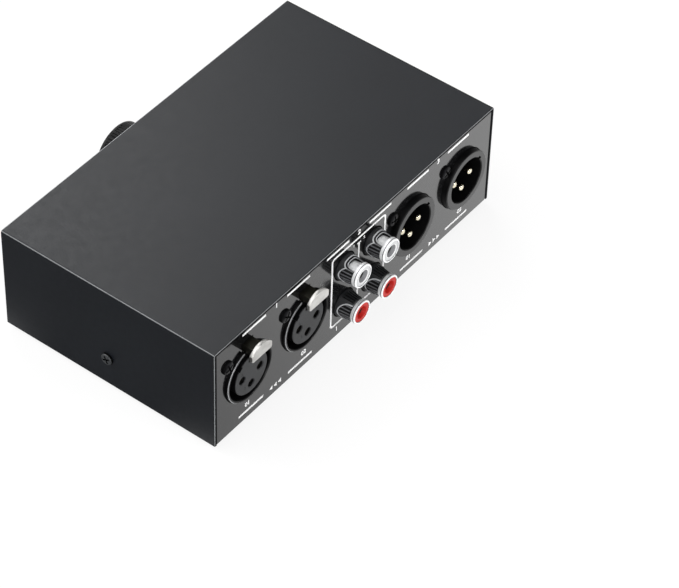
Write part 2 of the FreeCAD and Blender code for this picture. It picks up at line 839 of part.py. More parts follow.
# The upper row's leads come down behind those of the lower row
def phono_lead_start(z):
    row_room = 2 * lead_room if z > socket_z else 0
    return out(phono_block_back) - row_room


def phono_contacts():
    contacts = []
    for x, z in phono_places:
        tube = rod_y(x, out(phono_contact_back), out(phono_contact_front), z, phono_contact_diameter / 2)
        bend_start = phono_lead_start(z)
        rod = rod_y(x, bend_start, out(phono_contact_back), z, lead_radius)
        solid = fused([tube, rod] + bent_lead(x, bend_start, z))
        bore_floor = phono_contact_front - phono_contact_bore_depth
        bore = rod_y(x, out(bore_floor), out(phono_contact_front + overcut), z, phono_contact_bore / 2)
        contacts.append(solid.cut(bore))
    return Part.makeCompound(contacts)


# Volume knob and potentiometer
def above_flat(front, back):
    half = shaft_diameter
    low = knob_z + shaft_diameter / 2 - shaft_flat_depth
    return box(-half, half, ahead(front), ahead(back), low, knob_z + shaft_diameter)


def knob_ribs():
    grooves = []
    radius = knob_diameter / 2
    half = knob_rib_width / 2
    front = ahead(knob_proud - knob_rib_front)
    for i in range(knob_rib_count):
        groove = box(-half, half, front, front_y, knob_z + radius - knob_rib_depth, knob_z + radius + overcut)
        groove.rotate(Vector(0, 0, knob_z), Vector(0, 1, 0), i * 360 / knob_rib_count)
        grooves.append(groove)
    return grooves


def volume_knob():
    radius = knob_diameter / 2
    knob = rod_y(0, ahead(knob_proud), ahead(knob_gap), knob_z, radius)
    knob = bevelled(knob, knob_front_bevel, circle_at_y(ahead(knob_proud), radius))
    cavity = rod_y(0, ahead(bushing_proud + knob_bushing_gap), front_y, knob_z, knob_cavity_diameter / 2)
    bore_end = knob_proud - knob_bore_floor
    bore = rod_y(0, ahead(bore_end), front_y, knob_z, shaft_diameter / 2 + seat_fit)
    flat = above_flat(bore_end, shaft_flat_back)
    flat.translate(Vector(0, 0, seat_fit))
    return knob.cut([cavity, bore.cut(flat)] + knob_ribs())


def pot_shaft():
    shaft = rod_y(0, ahead(shaft_tip), ahead(pot_plate_back), knob_z, shaft_diameter / 2)
    spindle = rod_y(0, ahead(pot_plate_back), ahead(wafer_stack_back), knob_z, spindle_diameter / 2)
    return fused([shaft, spindle]).cut(above_flat(shaft_tip + overcut, shaft_flat_back))


def wafer_front(index):
    return pot_plate_back - wafer_gap - index * wafer_pitch


def pot_wipers():
    wipers = []
    for i in range(wafer_count):
        front = ahead(wafer_front(i) + wafer_gap - slide_clearance)
        back = ahead(wafer_front(i) + slide_clearance)
        disc = rod_y(0, front, back, knob_z, wiper_diameter / 2)
        hole = rod_y(0, front - overcut, back + overcut, knob_z, spindle_diameter / 2 + seat_fit)
        wipers.append(disc.cut(hole))
    return Part.makeCompound(wipers)


def rivet_holes(front, back):
    radius = rivet_diameter / 2 + seat_fit
    return [rod_y(x, ahead(front + overcut), ahead(back - overcut), z, radius) for x, z in rivet_places()]


def pot_front_plate():
    half = pot_plate_width / 2
    bottom = board_top + pot_board_gap
    plate = box(-half, half, ahead(-panel_sheet), ahead(pot_plate_back), bottom, knob_z + half)
    plate = plate.cut(rivet_holes(-panel_sheet, pot_plate_back))
    bushing = rod_y(0, ahead(bushing_proud), ahead(-panel_sheet), knob_z, bushing_diameter / 2)
    bore_radius = shaft_diameter / 2 + running_fit
    bore = rod_y(0, ahead(bushing_proud + overcut), ahead(pot_plate_back - overcut), knob_z, bore_radius)
    return fused([plate, bushing]).cut(bore)


def bushing_hole():
    radius = bushing_diameter / 2 + thread_fit
    return rod_y(0, ahead(bushing_proud + overcut), ahead(-overcut), knob_z, radius)


def pot_washer():
    radius = pot_nut_across_flats / 2 + pot_washer_rim
    return rod_y(0, ahead(pot_washer_thickness), front_y, knob_z, radius).cut(bushing_hole())


def pot_nut():
    seat = ahead(pot_washer_thickness)
    corners = [Vector(px, seat, knob_z + pz) for px, pz in hex_points(pot_nut_across_flats)]
    nut = Part.Face(Part.makePolygon(corners)).extrude(Vector(0, -pot_nut_thickness, 0))
    return nut.cut(bushing_hole())


def rivet_places():
    reach = wafer_width / 2 - rivet_inset
    return [(side * reach, knob_z + reach) for side in (-1, 1)]


def pot_wafers():
    half = wafer_width / 2
    bottom = board_top + pot_board_gap
    wafers = []
    for i in range(wafer_count):
        front = wafer_front(i)
        back = front - wafer_thickness
        wafer = box(-half, half, ahead(front), ahead(back), bottom, knob_z + half)
        spindle_hole = spindle_diameter / 2 + slide_clearance
        cuts = rivet_holes(front, back)
        cuts.append(rod_y(0, ahead(front + overcut), ahead(back - overcut), knob_z, spindle_hole))
        for x, y in wafer_terminals(i):
            cuts.append(rod_z(x, y, bottom - overcut, bottom + wafer_thickness / 2, lead_radius + seat_fit))
        wafers.append(wafer.cut(cuts))
    return Part.makeCompound(wafers)


def pot_rivets():
    radius = rivet_diameter / 2
    rivets = [rod_y(x, ahead(-panel_sheet), ahead(wafer_stack_back), z, radius) for x, z in rivet_places()]
    return Part.makeCompound(rivets)


def wafer_terminals(index):
    y = ahead(wafer_front(index) - wafer_thickness / 2)
    return [(step * pot_terminal_spacing, y) for step in (-1, 0, 1)]


def pot_terminal_places():
    return [place for i in range(wafer_count) for place in wafer_terminals(i)]


def pot_terminals():
    top = board_top + pot_board_gap + wafer_thickness / 2 - seat_fit
    return Part.makeCompound([rod_z(x, y, lead_end_z, top, lead_radius) for x, y in pot_terminal_places()])


# Push buttons and their switches
def button_cap(x):
    base = button_base_diameter / 2
    tip = button_tip_diameter / 2
    face = ahead(button_proud)
    crown = cone_y(x, face, front_y, button_z, tip, base)
    crown = rounded(crown, button_edge_radius, circle_at_y(face, tip))
    skirt = rod_y(x, front_y, ahead(button_back), button_z, base)
    half = plunger_width / 2 + seat_fit
    floor = ahead(button_back + button_socket_depth)
    back = ahead(button_back - overcut)
    socket = box(x - half, x + half, floor, back, button_z - half, button_z + half)
    return fused([crown, skirt]).cut(socket)


def switch_plunger(x):
    half = plunger_width / 2
    front = ahead(button_back + button_socket_depth - seat_fit)
    back = ahead(switch_front - plunger_engagement)
    return box(x - half, x + half, front, back, button_z - half, button_z + half)


def switch_body(x):
    half = switch_width / 2
    top = button_z + switch_above_axis
    body = box(x - half, x + half, ahead(switch_front), ahead(switch_back), board_top, top)
    half = plunger_width / 2 + running_fit
    slot_end = switch_front - plunger_engagement - button_travel - slide_clearance
    mouth = ahead(switch_front + overcut)
    slot = box(x - half, x + half, mouth, ahead(slot_end), button_z - half, button_z + half)
    return body.cut(slot)


def switch_spring(x):
    bore = switch_spring_bore / 2
    coil = rod_y(x, ahead(button_back), ahead(switch_front), button_z, bore + switch_spring_wall)
    middle = rod_y(x, ahead(button_back + overcut), ahead(switch_front - overcut), button_z, bore)
    return coil.cut(middle)


def switch_terminal_places():
    places = []
    middle = ahead((switch_front + switch_back) / 2)
    for name, x in button_places:
        for row in range(switch_terminal_rows):
            across = (row - (switch_terminal_rows - 1) / 2) * switch_terminal_row_spacing
            for i in range(switch_terminals_in_row):
                along = (i - (switch_terminals_in_row - 1) / 2) * switch_terminal_pitch
                places.append((x + across, middle + along))
    return places


def switch_terminals():
    places = switch_terminal_places()
    return Part.makeCompound([rod_z(x, y, lead_end_z, board_top, lead_radius) for x, y in places])


# Every lead that passes through the board
def lead_places():
    places = []
    for name, x in input_sockets:
        places += [(x + dx, out(input_body_back) - lead_room) for dx, dz in contact_offsets]
    for name, x in output_sockets:
        places += [(x + dx, out(output_body_back) - lead_room) for dx, dz in contact_offsets]
    for x, z in phono_places:
        places.append((x, phono_lead_start(z) - lead_room))
    return places + pot_terminal_places() + switch_terminal_places()


def all_parts():
    parts = {
        "bottom_tray": bottom_tray(),
        "front_panel": front_panel(),
        "rear_panel": rear_panel(),
        "top_cover": top_cover(),
        "cover_screws": cover_screws(),
        "rubber_feet": rubber_feet(),
        "main_board": main_board(),
        "board_standoffs": board_standoffs(),
        "board_screws": board_screws(),
        "socket_screws": socket_screws(),
        "phono_block": phono_block(),
        "phono_shells": phono_shells(),
        "phono_insulators_white": phono_insulators(True),
        "phono_insulators_red": phono_insulators(False),
        "phono_contacts": phono_contacts(),
        "volume_knob": volume_knob(),
        "pot_shaft": pot_shaft(),
        "pot_wipers": pot_wipers(),
        "pot_front_plate": pot_front_plate(),
        "pot_washer": pot_washer(),
        "pot_nut": pot_nut(),
        "pot_wafers": pot_wafers(),
        "pot_rivets": pot_rivets(),
        "pot_terminals": pot_terminals(),
        "switch_terminals": switch_terminals(),
    }
    for name, x in input_sockets:
        parts["input_socket_" + name + "_housing"] = input_housing(x)
        parts["input_socket_" + name + "_insert"] = input_insert(x)
        parts["input_socket_" + name + "_contacts"] = input_contacts(x)
        parts["input_socket_" + name + "_latch"] = input_latch(x)
        parts["input_socket_" + name + "_latch_spring"] = input_latch_spring(x)
    for name, x in output_sockets:
        parts["output_socket_" + name + "_housing"] = output_housing(x)
        parts["output_socket_" + name + "_pins"] = output_pins(x)
    for name, x in button_places:
        parts[name + "_button"] = button_cap(x)
        parts[name + "_switch_plunger"] = switch_plunger(x)
        parts[name + "_switch_body"] = switch_body(x)
        parts[name + "_switch_spring"] = switch_spring(x)
    return parts


os.makedirs("parts", exist_ok=True)
for node, shape in all_parts().items():
    shape.exportStep("parts/" + node + ".step")
    state = "valid" if shape.isValid() else "INVALID"
    print(node, len(shape.Solids), "solids", round(shape.Volume, 1), "mm3", state)
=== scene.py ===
import bpy, bmesh
from math import atan2, cos, hypot, pi, radians, sin, sqrt
from mathutils import Matrix, Vector


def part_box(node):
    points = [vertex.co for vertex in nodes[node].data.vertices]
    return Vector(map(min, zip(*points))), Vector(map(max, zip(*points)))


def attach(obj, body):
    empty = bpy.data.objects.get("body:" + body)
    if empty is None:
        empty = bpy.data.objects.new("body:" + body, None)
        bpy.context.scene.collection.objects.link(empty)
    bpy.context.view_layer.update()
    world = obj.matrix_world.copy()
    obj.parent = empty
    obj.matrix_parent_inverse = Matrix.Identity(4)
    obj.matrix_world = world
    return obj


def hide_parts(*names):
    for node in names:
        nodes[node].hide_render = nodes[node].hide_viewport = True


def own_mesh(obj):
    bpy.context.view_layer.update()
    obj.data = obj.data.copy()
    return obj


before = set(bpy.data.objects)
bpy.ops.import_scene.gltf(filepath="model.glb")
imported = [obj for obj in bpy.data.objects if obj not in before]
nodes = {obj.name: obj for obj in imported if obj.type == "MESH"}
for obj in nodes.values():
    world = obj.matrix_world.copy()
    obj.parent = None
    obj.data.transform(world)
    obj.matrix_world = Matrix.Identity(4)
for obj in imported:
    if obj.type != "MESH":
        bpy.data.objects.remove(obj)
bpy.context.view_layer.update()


def spanOf(name):  # a node's lowest and highest corners in mm
    low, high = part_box(name)
    return low * 1000, high * 1000


def middleOf(name):
    low, high = spanOf(name)
    return (low + high) / 2


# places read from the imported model, in mm
coverLow, coverHigh = spanOf("top_cover")
rearY = spanOf("rear_panel")[1].y
frontY = spanOf("front_panel")[0].y
socketZ = middleOf("input_socket_1_insert").z


# camera: solved from the corners of the case in the picture
camera = {
    "place": (0.54879, 0.44127, 0.69537),
    "right": (-0.61073, 0.79148, 0.02374),
    "down": (0.55249, 0.44741, -0.70326),
    "ahead": (-0.56724, -0.41639, -0.71054),
    "lens": 164.27,
    "sensor": 36,
    "clip": (0.05, 20),
}


def addCamera():
    bpy.ops.object.camera_add()
    eye = bpy.context.object
    eye.name = "viewpoint"
    right, down, ahead = (Vector(camera[k]) for k in ("right", "down", "ahead"))
    turn = Matrix((right, -down, -ahead)).transposed()
    eye.matrix_world = Matrix.Translation(camera["place"]) @ turn.to_4x4()
    eye.data.lens = camera["lens"]
    eye.data.sensor_width = camera["sensor"]
    eye.data.clip_start, eye.data.clip_end = camera["clip"]
    bpy.context.scene.camera = eye


addCamera()
print("camera ready")


# nodes of a material
white = (1, 1, 1, 1)


def linear(hexColour):  # sRGB hex to the linear values that the shader takes
    parts = [int(hexColour[i:i + 2], 16) / 255 for i in (0, 2, 4)]
    return tuple(c / 12.92 if c <= 0.04045 else ((c + 0.055) / 1.055) ** 2.4 for c in parts) + (1,)


def addNode(tree, kind, settings={}, links={}):
    node = tree.nodes.new("ShaderNode" + kind)
    for key, value in settings.items():
        if isinstance(key, str) and hasattr(node, key):
            setattr(node, key, value)
        else:
            node.inputs[key].default_value = value
    for key, source in links.items():
        tree.links.new(source, node.inputs[key])
    return node


def emptyTree(owner):  # the nodes of a material or a world, cleared
    owner.use_nodes = True
    owner.node_tree.nodes.clear()
    return owner.node_tree


def perMetre(sizeMm):  # texture scale that gives features of this size
    return 1000 / sizeMm


# studio: pale floor with a white card behind the object, dim overhead, soft lamps
studio = {
    "floorRadius": 3.0,
    "floorColour": "f4f4f4",
    "floorGlow": 0.86,
    "cardEdge": (0.018, 0.046),
    "cardEnd": (0.070, 0.078),
    "cardFade": (0.10, -0.12),
    "cardRight": 0.78,
    "cardLeft": 1.6,
    "darkFloor": 0.17,
    "skyFade": (0.0, 0.55),
    "horizon": 0.75,
    "overhead": 0.05,
    "aim": (0, 0, 0.02),
    "bank": {"towards": (0.45, -0.42, 0.79), "wide": (0.60, 0.95), "strength": 2.4},
    "lamps": {
        "topLamp": {"place": (-0.55, -0.80, 0.88), "size": 0.46, "power": 4.1},
        "rearLamp": {"place": (-0.20, 1.15, 0.62), "size": 0.36, "power": 7.0},
        "cornerLamp": {"place": (0.95, 0.80, 0.40), "size": 0.50, "power": 6.0},
        "sideLamp": {"place": (-1.2, -0.2, 0.7), "size": 0.60, "power": 2.0},
        "frontLamp": {"place": (0.5, -1.2, 0.8), "size": 0.80, "power": 5.0},
    },
}


def maths(tree, how, *sources):
    return addNode(tree, "Math", {"operation": how}, dict(enumerate(sources))).outputs[0]


def anyOf(tree, *rays):  # 1 for these kinds of ray
    path = addNode(tree, "LightPath")
    found = path.outputs[rays[0]]
    for ray in rays[1:]:
        found = maths(tree, "MAXIMUM", found, path.outputs[ray])
    return found


def toRange(tree, source, low, high, start, end, **settings):
    return addNode(tree, "MapRange", {"From Min": low, "From Max": high, "To Min": start, "To Max": end,
                                      **settings}, {"Value": source}).outputs["Result"]


def ramp(tree, source, *ends):  # a smooth step
    return toRange(tree, source, *ends, interpolation_type="SMOOTHSTEP")


def addFloor():
    bpy.ops.mesh.primitive_circle_add(vertices=96, radius=studio["floorRadius"], fill_type="NGON")
    floor = bpy.context.object
    floor.name = "studioFloor"
    bpy.ops.object.transform_apply(location=True, rotation=True, scale=True)
    mat = bpy.data.materials.new("paleFloor")
    tree = emptyTree(mat)
    lit = addNode(tree, "BsdfDiffuse", {"Color": linear(studio["floorColour"])})
    glow = addNode(tree, "Emission", {"Color": white, "Strength": 1.0})
    direct = anyOf(tree, "Is Camera Ray", "Is Transmission Ray")
    share = addNode(tree, "Math", {"operation": "MULTIPLY", 1: studio["floorGlow"]}, {0: direct})
    seen = addNode(tree, "MixShader", {}, {0: share.outputs[0], 1: lit.outputs[0], 2: glow.outputs[0]})
    place = addNode(tree, "SeparateXYZ", {}, {0: addNode(tree, "TexCoord").outputs["Object"]})
    card = ramp(tree, place.outputs["X"], *studio["cardFade"], studio["cardRight"], studio["cardLeft"])
    behind = ramp(tree, maths(tree, "ABSOLUTE", place.outputs["Y"]), *studio["cardEdge"], 0, 1)
    within = ramp(tree, place.outputs["X"], *studio["cardEnd"], 1, 0)
    onCard = maths(tree, "MULTIPLY", behind, within)
    level = addNode(tree, "Mix", {"data_type": "FLOAT", 2: studio["darkFloor"]}, {0: onCard, 3: card})
    mirrored = addNode(tree, "Emission", {"Color": white}, {"Strength": level.outputs[0]})
    glossy = anyOf(tree, "Is Glossy Ray")
    mixed = addNode(tree, "MixShader", {}, {0: glossy, 1: seen.outputs[0], 2: mirrored.outputs[0]})
    addNode(tree, "OutputMaterial", {}, {"Surface": mixed.outputs[0]})
    floor.data.materials.append(mat)


def addWorld():
    world = bpy.data.worlds.new("softSurround")
    bpy.context.scene.world = world
    tree = emptyTree(world)
    aim = addNode(tree, "TexCoord").outputs["Generated"]
    up = addNode(tree, "SeparateXYZ", {}, {0: aim}).outputs["Z"]
    shade = ramp(tree, up, *studio["skyFade"], studio["horizon"], studio["overhead"])
    bank = studio["bank"]  # a broad soft light that only curved metal mirrors
    near = addNode(tree, "VectorMath", {"operation": "DOT_PRODUCT", 1: bank["towards"]}, {0: aim})
    patch = ramp(tree, near.outputs["Value"], *bank["wide"], 0, bank["strength"])
    shade = maths(tree, "ADD", shade, patch)
    seen = anyOf(tree, "Is Camera Ray", "Is Transmission Ray")
    strength = addNode(tree, "Mix", {"data_type": "FLOAT", 3: 1.0}, {0: seen, 2: shade}).outputs[0]
    sky = addNode(tree, "Background", {"Color": white}, {"Strength": strength})
    addNode(tree, "OutputWorld", {}, {"Surface": sky.outputs[0]})


def addLamps():
    for name, lamp in studio["lamps"].items():
        bpy.ops.object.light_add(type="AREA", location=lamp["place"])
        light = bpy.context.object
        light.name = name
        light.data.size = lamp["size"]
        light.data.energy = lamp["power"]
        aim = Vector(studio["aim"]) - light.location
        light.rotation_euler = aim.to_track_quat("-Z", "Y").to_euler()


addFloor()
addWorld()
addLamps()
bpy.context.scene.view_settings.view_transform = "Standard"
print("studio ready")


# finishes
def newFinish(name, settings):
    mat = bpy.data.materials.new(name)
    tree = emptyTree(mat)
    shader = addNode(tree, "BsdfPrincipled", settings)
    addNode(tree, "OutputMaterial", {}, {"Surface": shader.outputs[0]})
    coords = addNode(tree, "TexCoord").outputs["Object"]
    return mat, tree, shader, coords


def grain(tree, coords, sizeMm, detail=2.0):
    noise = addNode(tree, "TexNoise", {"Scale": perMetre(sizeMm), "Detail": detail}, {"Vector": coords})
    return noise.outputs["Fac"]


def spread(tree, source, low, high):  # noise, which mostly lies between 0.3 and 0.7, to a range of values
    return toRange(tree, source, 0.3, 0.7, low, high)


def twoTone(tree, shader, source, dark, light):
    mix = addNode(tree, "MixRGB", {"Color1": linear(dark), "Color2": linear(light)}, {"Fac": source})
    tree.links.new(mix.outputs[0], shader.inputs["Base Color"])


def relief(tree, shader, source, depthMm):
    bump = addNode(tree, "Bump", {"Strength": 1.0, "Distance": depthMm / 1000}, {"Height": source})
    tree.links.new(bump.outputs[0], shader.inputs["Normal"])


def surface(name, dark, light, settings, patch, peel, sway=None, along=None):
    # the tone drifts over patches, a finer grain stands up as relief, and one may sway the roughness
    mat, tree, shader, coords = newFinish(name, settings)
    twoTone(tree, shader, spread(tree, grain(tree, coords, *patch), 0, 1), dark, light)
    if along:  # squeezed along an axis, so that the grain draws out across it
        coords = addNode(tree, "Mapping", {"Scale": along}, {"Vector": coords}).outputs[0]
    *size, depthMm = peel
    relief(tree, shader, grain(tree, coords, *size), depthMm)
    if sway:
        *size, low, high = sway
        tree.links.new(spread(tree, grain(tree, coords, *size), low, high), shader.inputs["Roughness"])
    return mat


def moulded(name, dark, light, roughness, ior=1.46, sparkMm=0.35, depthMm=0.008):
    # injection-moulded nylon or ABS: the tool's fine spark grain, and a slow drift of tone from the flow
    return surface(name, dark, light, {"Roughness": roughness, "IOR": ior}, [6], (sparkMm, depthMm),
                   (sparkMm, roughness - 0.04, roughness + 0.04))


def plated(name, dark, light, roughness, grainMm=0.2, depthMm=0.004, along=None, metallic=1.0):
    # nickel, zinc or silver plate over metal: fine polishing lines or blast grain, slight patches
    return surface(name, dark, light, {"Roughness": roughness, "Metallic": metallic}, [3], (grainMm, depthMm),
                   (grainMm, roughness - 0.05, roughness + 0.05), along)


def boardMask():
    # glass-fibre board: green mask over a woven cloth that just shows through, drawn coarse
    mat, tree, shader, coords = newFinish("solderMaskBoard", {"Roughness": 0.32, "IOR": 1.5})
    weave = [addNode(tree, "TexWave", {"bands_direction": side, "Scale": perMetre(24), "Distortion": 0.4},
                     {"Vector": coords}).outputs["Fac"] for side in ("X", "Y")]
    cloth = maths(tree, "MULTIPLY", *weave)
    twoTone(tree, shader, cloth, "0b4429", "125c38")
    relief(tree, shader, cloth, 0.01)
    return mat


finishes = {
    # powder coat on folded steel: an even satin dark grey with a fine orange peel
    "cover_paint": surface("satinPowderCoat", "0c0f14", "101318", {"Roughness": 0.4, "IOR": 1.41}, [40],
                           (0.9, 3.0, 0.006), (2.5, 0.38, 0.43)),
    # enamel baked on steel: near black, mirror-like, with a faint long-wave ripple
    "panel_paint": surface("glossEnamelSteel", "0e0e0f", "121213", {"Roughness": 0.1, "IOR": 1.55}, [30],
                           (6, 1.0, 0.002), (5, 3.0, 0.09, 0.13)),
    "black_steel": plated("blackZincSteel", "101011", "1a1a1c", 0.4, 0.15),
    "rubber": moulded("mouldedRubber", "141414", "1b1b1b", 0.8, 1.5, 0.5, 0.02),
    "board_green": boardMask(),
    "steel": plated("brightZincSteel", "a8abb0", "bcbfc4", 0.3),
    "black_plastic": moulded("mouldedBlackNylon", "040405", "080809", 0.4, 1.3),
    "grey_plastic": moulded("mouldedGreyNylon", "242526", "2a2b2d", 0.5, 1.34),
    "silver_contact": plated("silverPlatedBrass", "cdc5ae", "dcd5c2", 0.13, 0.2, 0.0005),
    "latch_nickel": plated("satinNickelZinc", "b6b5b2", "cccbc8", 0.4, 0.45, 0.012),
    "phono_nickel": plated("satinNickelBrass", "ecedee", "f6f7f8", 0.3, 0.25, 0.0003, (1, 8, 1), 0.3),
    "white_plastic": moulded("mouldedWhiteNylon", "bcbdbf", "c6c7c8", 0.45, 1.35),
    "red_plastic": moulded("mouldedRedNylon", "ac1409", "b81f13", 0.4, 1.3),
    "knob_plastic": moulded("mouldedKnobAbs", "0f0f10", "161617", 0.42, 1.25),
    "shaft_metal": plated("turnedAluminium", "b4b6b9", "c8cacd", 0.32, 0.2, 0.004, (1, 8, 1)),
    # pressed phenolic resin: brown, matt, with paper flecks
    "brown_plastic": surface("pressedPhenolic", "4a2f17", "6b4727", {"Roughness": 0.55, "IOR": 1.6},
                             (0.6, 4.0), (0.6, 4.0, 0.01)),
}
# screen-printed ink: flat white with a thin, slightly uneven film
ink = surface("screenPrintInk", "e6e6e6", "f4f4f4", {"Roughness": 0.55, "IOR": 1.45}, [0.5], (0.5, 0.004))
paintedEdgeHighlight = moulded("rubbedBlackNylonEdge", "7c7d7f", "909193", 0.2, 1.5)  # painted highlight: moulded edges painted pale where light would catch them
# painted highlight: pale ledges round the sleeves' recesses and window
sleeveLedgeHighlight = moulded("rubbedJackNylonLedge", "a4a5a8", "b6b7b9", 0.25, 1.5)
paintedShadeEdge = moulded("blackenedCutEdge", "040405", "080809", 0.7, 1.15)  # painted shade: cut ends, corners and recesses painted black
jackBody = moulded("mouldedJackNylon", "1b1c1d", "252628", 0.35, 1.4)
# painted highlight: pale rib faces standing in for glints
jackRibHighlight = moulded("rubbedJackNylonRib", "56575a", "626366", 0.25, 1.45)
whiteFunnelShade = moulded("shadedWhiteNylonFunnel", "7c7d80", "88898b", 0.5, 1.3)  # painted shade: the funnel's white nylon painted grey, as if in shadow
# painted shade: the funnel's red nylon painted darker, as if in shadow
redFunnelShade = moulded("shadedRedNylonFunnel", "a4120a", "b01a10", 0.5, 1.3)
whiteLipHighlight = moulded("rubbedWhiteNylonLip", "e9e9ea", "f2f2f2", 0.35)  # painted highlight: a pale line round the hole's lip
# painted shade: the shells' turned groove painted dark nickel
grooveShade = plated("darkNickelTurningGroove", "5a5b5d", "68696b", 0.4, 0.25, 0.0006)
tinnedContact = plated("tinnedBrassContact", "3c3836", "4a4644", 0.5, 0.2, 0.0005, metallic=0.5)
coatEdgeHighlight = moulded("powderCoatEdge", "66686a", "747678", 0.35)  # painted highlight: a pale line on the coat's edges and near fold
frontEdge = moulded("rubbedCoatFrontEdge", "8e9092", "9c9ea0", 0.35)  # painted highlight, paler still, on the front edge
screwCoat = moulded("blackZincScrewHead", "2c2e30", "353739", 0.4)  # black zinc with a grey bloom
latchShadeNickel = plated("smokedNickelZinc", "3b3a34", "46453e", 0.42, 0.45, 0.006)  # painted shade: the latch's neck, shoulder and hook behind the plate painted dark
rimPlastic = moulded("polishedBlackNylonRim", "0a0a0b", "101011", 0.16, 1.33)  # shiny where plugs rub
for name, obj in nodes.items():
    slot = obj.material_slots[0].material.name.split(".")[0]
    obj.material_slots[0].material = finishes[slot]
nodes["phono_contacts"].material_slots[0].material = tinnedContact
print("finishes ready")


# modelling helpers: a piece is shaped in mm and then brought to metres
onAxis = 0.0005  # radius of a ring that ends on its axis
quarter = pi / 2
pinhole = 8  # most sides of a hole that a boolean or a figure may leave


def leaveEdit():
    bpy.ops.object.mode_set(mode="OBJECT")


def clearSelection():
    if bpy.context.object and bpy.context.object.mode != "OBJECT":
        leaveEdit()
    bpy.ops.object.select_all(action="DESELECT")


def pick(piece):
    clearSelection()
    piece.select_set(True)
    bpy.context.view_layer.objects.active = piece


def choose(piece, kind, wanted):  # opens the piece in edit mode with these vertices, edges or faces selected
    pick(piece)
    bpy.context.tool_settings.mesh_select_mode = [kind == each for each in ("verts", "edges", "faces")]
    bpy.ops.object.mode_set(mode="EDIT")
    bpy.ops.mesh.select_all(action="DESELECT")
    mesh = bmesh.from_edit_mesh(piece.data)
    for part in getattr(mesh, kind):
        if wanted(part):
            part.select_set(True)
    mesh.select_flush_mode()
    bmesh.update_edit_mesh(piece.data)


def rounded(piece, wanted, width, steps, kind="edges"):  # bevels what is wanted
    choose(piece, kind, wanted)
    bpy.ops.mesh.bevel(offset=width, segments=steps)
    leaveEdit()
    return piece


def moved(piece, wanted, step):  # moves the vertices that are wanted
    choose(piece, "verts", wanted)
    bpy.ops.transform.translate(value=step)
    leaveEdit()
    return piece


def settle(name):  # names what was just added and puts its place in its mesh
    piece = bpy.context.object
    piece.name = name
    bpy.ops.object.transform_apply(location=True, rotation=True, scale=True)
    return piece


def block(name, low, high, turnY=0.0):
    clearSelection()
    low, high = Vector(low), Vector(high)
    middle, size = (low + high) / 2, high - low
    bpy.ops.mesh.primitive_cube_add(size=1, location=middle, scale=size, rotation=(0, turnY, 0))
    return settle(name)


def slab(name, x, half, y0, y1, z0, z1):  # a block that reaches as far to both sides of x
    return block(name, (x - half, y0, z0), (x + half, y1, z1))


def rod(name, vertices, radius, length, middle, turn=(0, 0, 0)):
    clearSelection()
    size = {"vertices": vertices, "radius": radius, "depth": length}
    bpy.ops.mesh.primitive_cylinder_add(**size, location=middle, rotation=turn)
    return settle(name)


def turned(name, x, z, rings, sides=72):  # a circle about Y, extruded from ring to ring: (y, radius) pairs
    clearSelection()
    y, radius = rings[0]
    facing = (quarter, 0, 0)
    bpy.ops.mesh.primitive_circle_add(vertices=sides, radius=radius, location=(x, y, z), rotation=facing)
    piece = settle(name)
    bpy.ops.object.mode_set(mode="EDIT")
    bpy.ops.mesh.select_all(action="SELECT")
    for nextY, nextRadius in rings[1:]:
        grow = nextRadius / radius
        bpy.ops.mesh.extrude_edges_move(TRANSFORM_OT_translate={"value": (0, nextY - y, 0)})
        bpy.ops.transform.resize(value=(grow, 1, grow), center_override=(x, nextY, z))
        y, radius = nextY, nextRadius
    return closed(piece, 0.002)


def applied(piece, kind, **settings):  # adds a modifier, sets it and applies it
    pick(piece)
    mod = piece.modifiers.new(kind.lower(), kind)
    for key, value in settings.items():
        setattr(mod, key, value)
    bpy.ops.object.modifier_apply(modifier=mod.name)
    return piece


def softened(piece, width, segments=2, angle=40, **more):
    return applied(piece, "BEVEL", width=width, segments=segments, limit_method="ANGLE",
                   angle_limit=radians(angle), **more)


def combined(piece, tools, how="DIFFERENCE"):
    for tool in tools:
        applied(piece, "BOOLEAN", object=tool, operation=how, solver="EXACT")
        bpy.data.objects.remove(tool)
    return piece


def closed(piece, seam=0.0005, sides=0):  # merges seams, shuts holes (0: of any size), turns faces outwards
    choose(piece, "verts", lambda vert: True)
    bpy.ops.mesh.remove_doubles(threshold=seam)
    bpy.ops.mesh.fill_holes(sides=sides)
    bpy.ops.mesh.normals_make_consistent(inside=False)
    leaveEdit()
    return piece


def copied(piece, name, x=0.0, z=0.0):
    twin = piece.copy()
    twin.data = piece.data.copy()
    twin.name = name
    bpy.context.scene.collection.objects.link(twin)
    twin.data.transform(Matrix.Translation((x, 0, z)))
    return twin


def joined(name, pieces):
    pick(pieces[0])
    for piece in pieces[1:]:
        piece.select_set(True)
    if len(pieces) > 1:
        bpy.ops.object.join()
    pieces[0].name = name
    return pieces[0]


def dress(piece, *mats):
    piece.data.materials.clear()
    for mat in mats:
        piece.data.materials.append(mat)
    return piece


def paintFaces(piece, index, wanted=None):  # with nothing said, all of them
    for face in piece.data.polygons:
        if wanted is None or wanted(face.center, face.normal):
            face.material_index = index


def finished(piece, slot, *replaced, body="case", angle=35):  # to metres, smooth, riding on its body
    if not any(piece.data.materials):
        dress(piece, finishes[slot])
    pick(piece)
    piece.scale = (0.001, 0.001, 0.001)
    bpy.ops.object.transform_apply(location=False, rotation=False, scale=True)
    bpy.ops.object.shade_smooth_by_angle(angle=radians(angle))
    applied(piece, "WEIGHTED_NORMAL", keep_sharp=True)
    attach(piece, body)
    if replaced:
        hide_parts(*replaced)


def finishedPair(piece, places, slot, node, body="case"):  # two like pieces, of which the second is a copy
    second = copied(piece, piece.name[:-1] + "2", places[1] - places[0])
    for order, made in enumerate((piece, second), 1):
        finished(made, slot, node.format(order), body=body.format(order))


def out(distance):  # out of the rear panel's face
    return rearY + distance


def profile(pairs):  # rings from their distances out of the rear panel's face and their radii
    return [(out(distance), radius) for distance, radius in pairs]


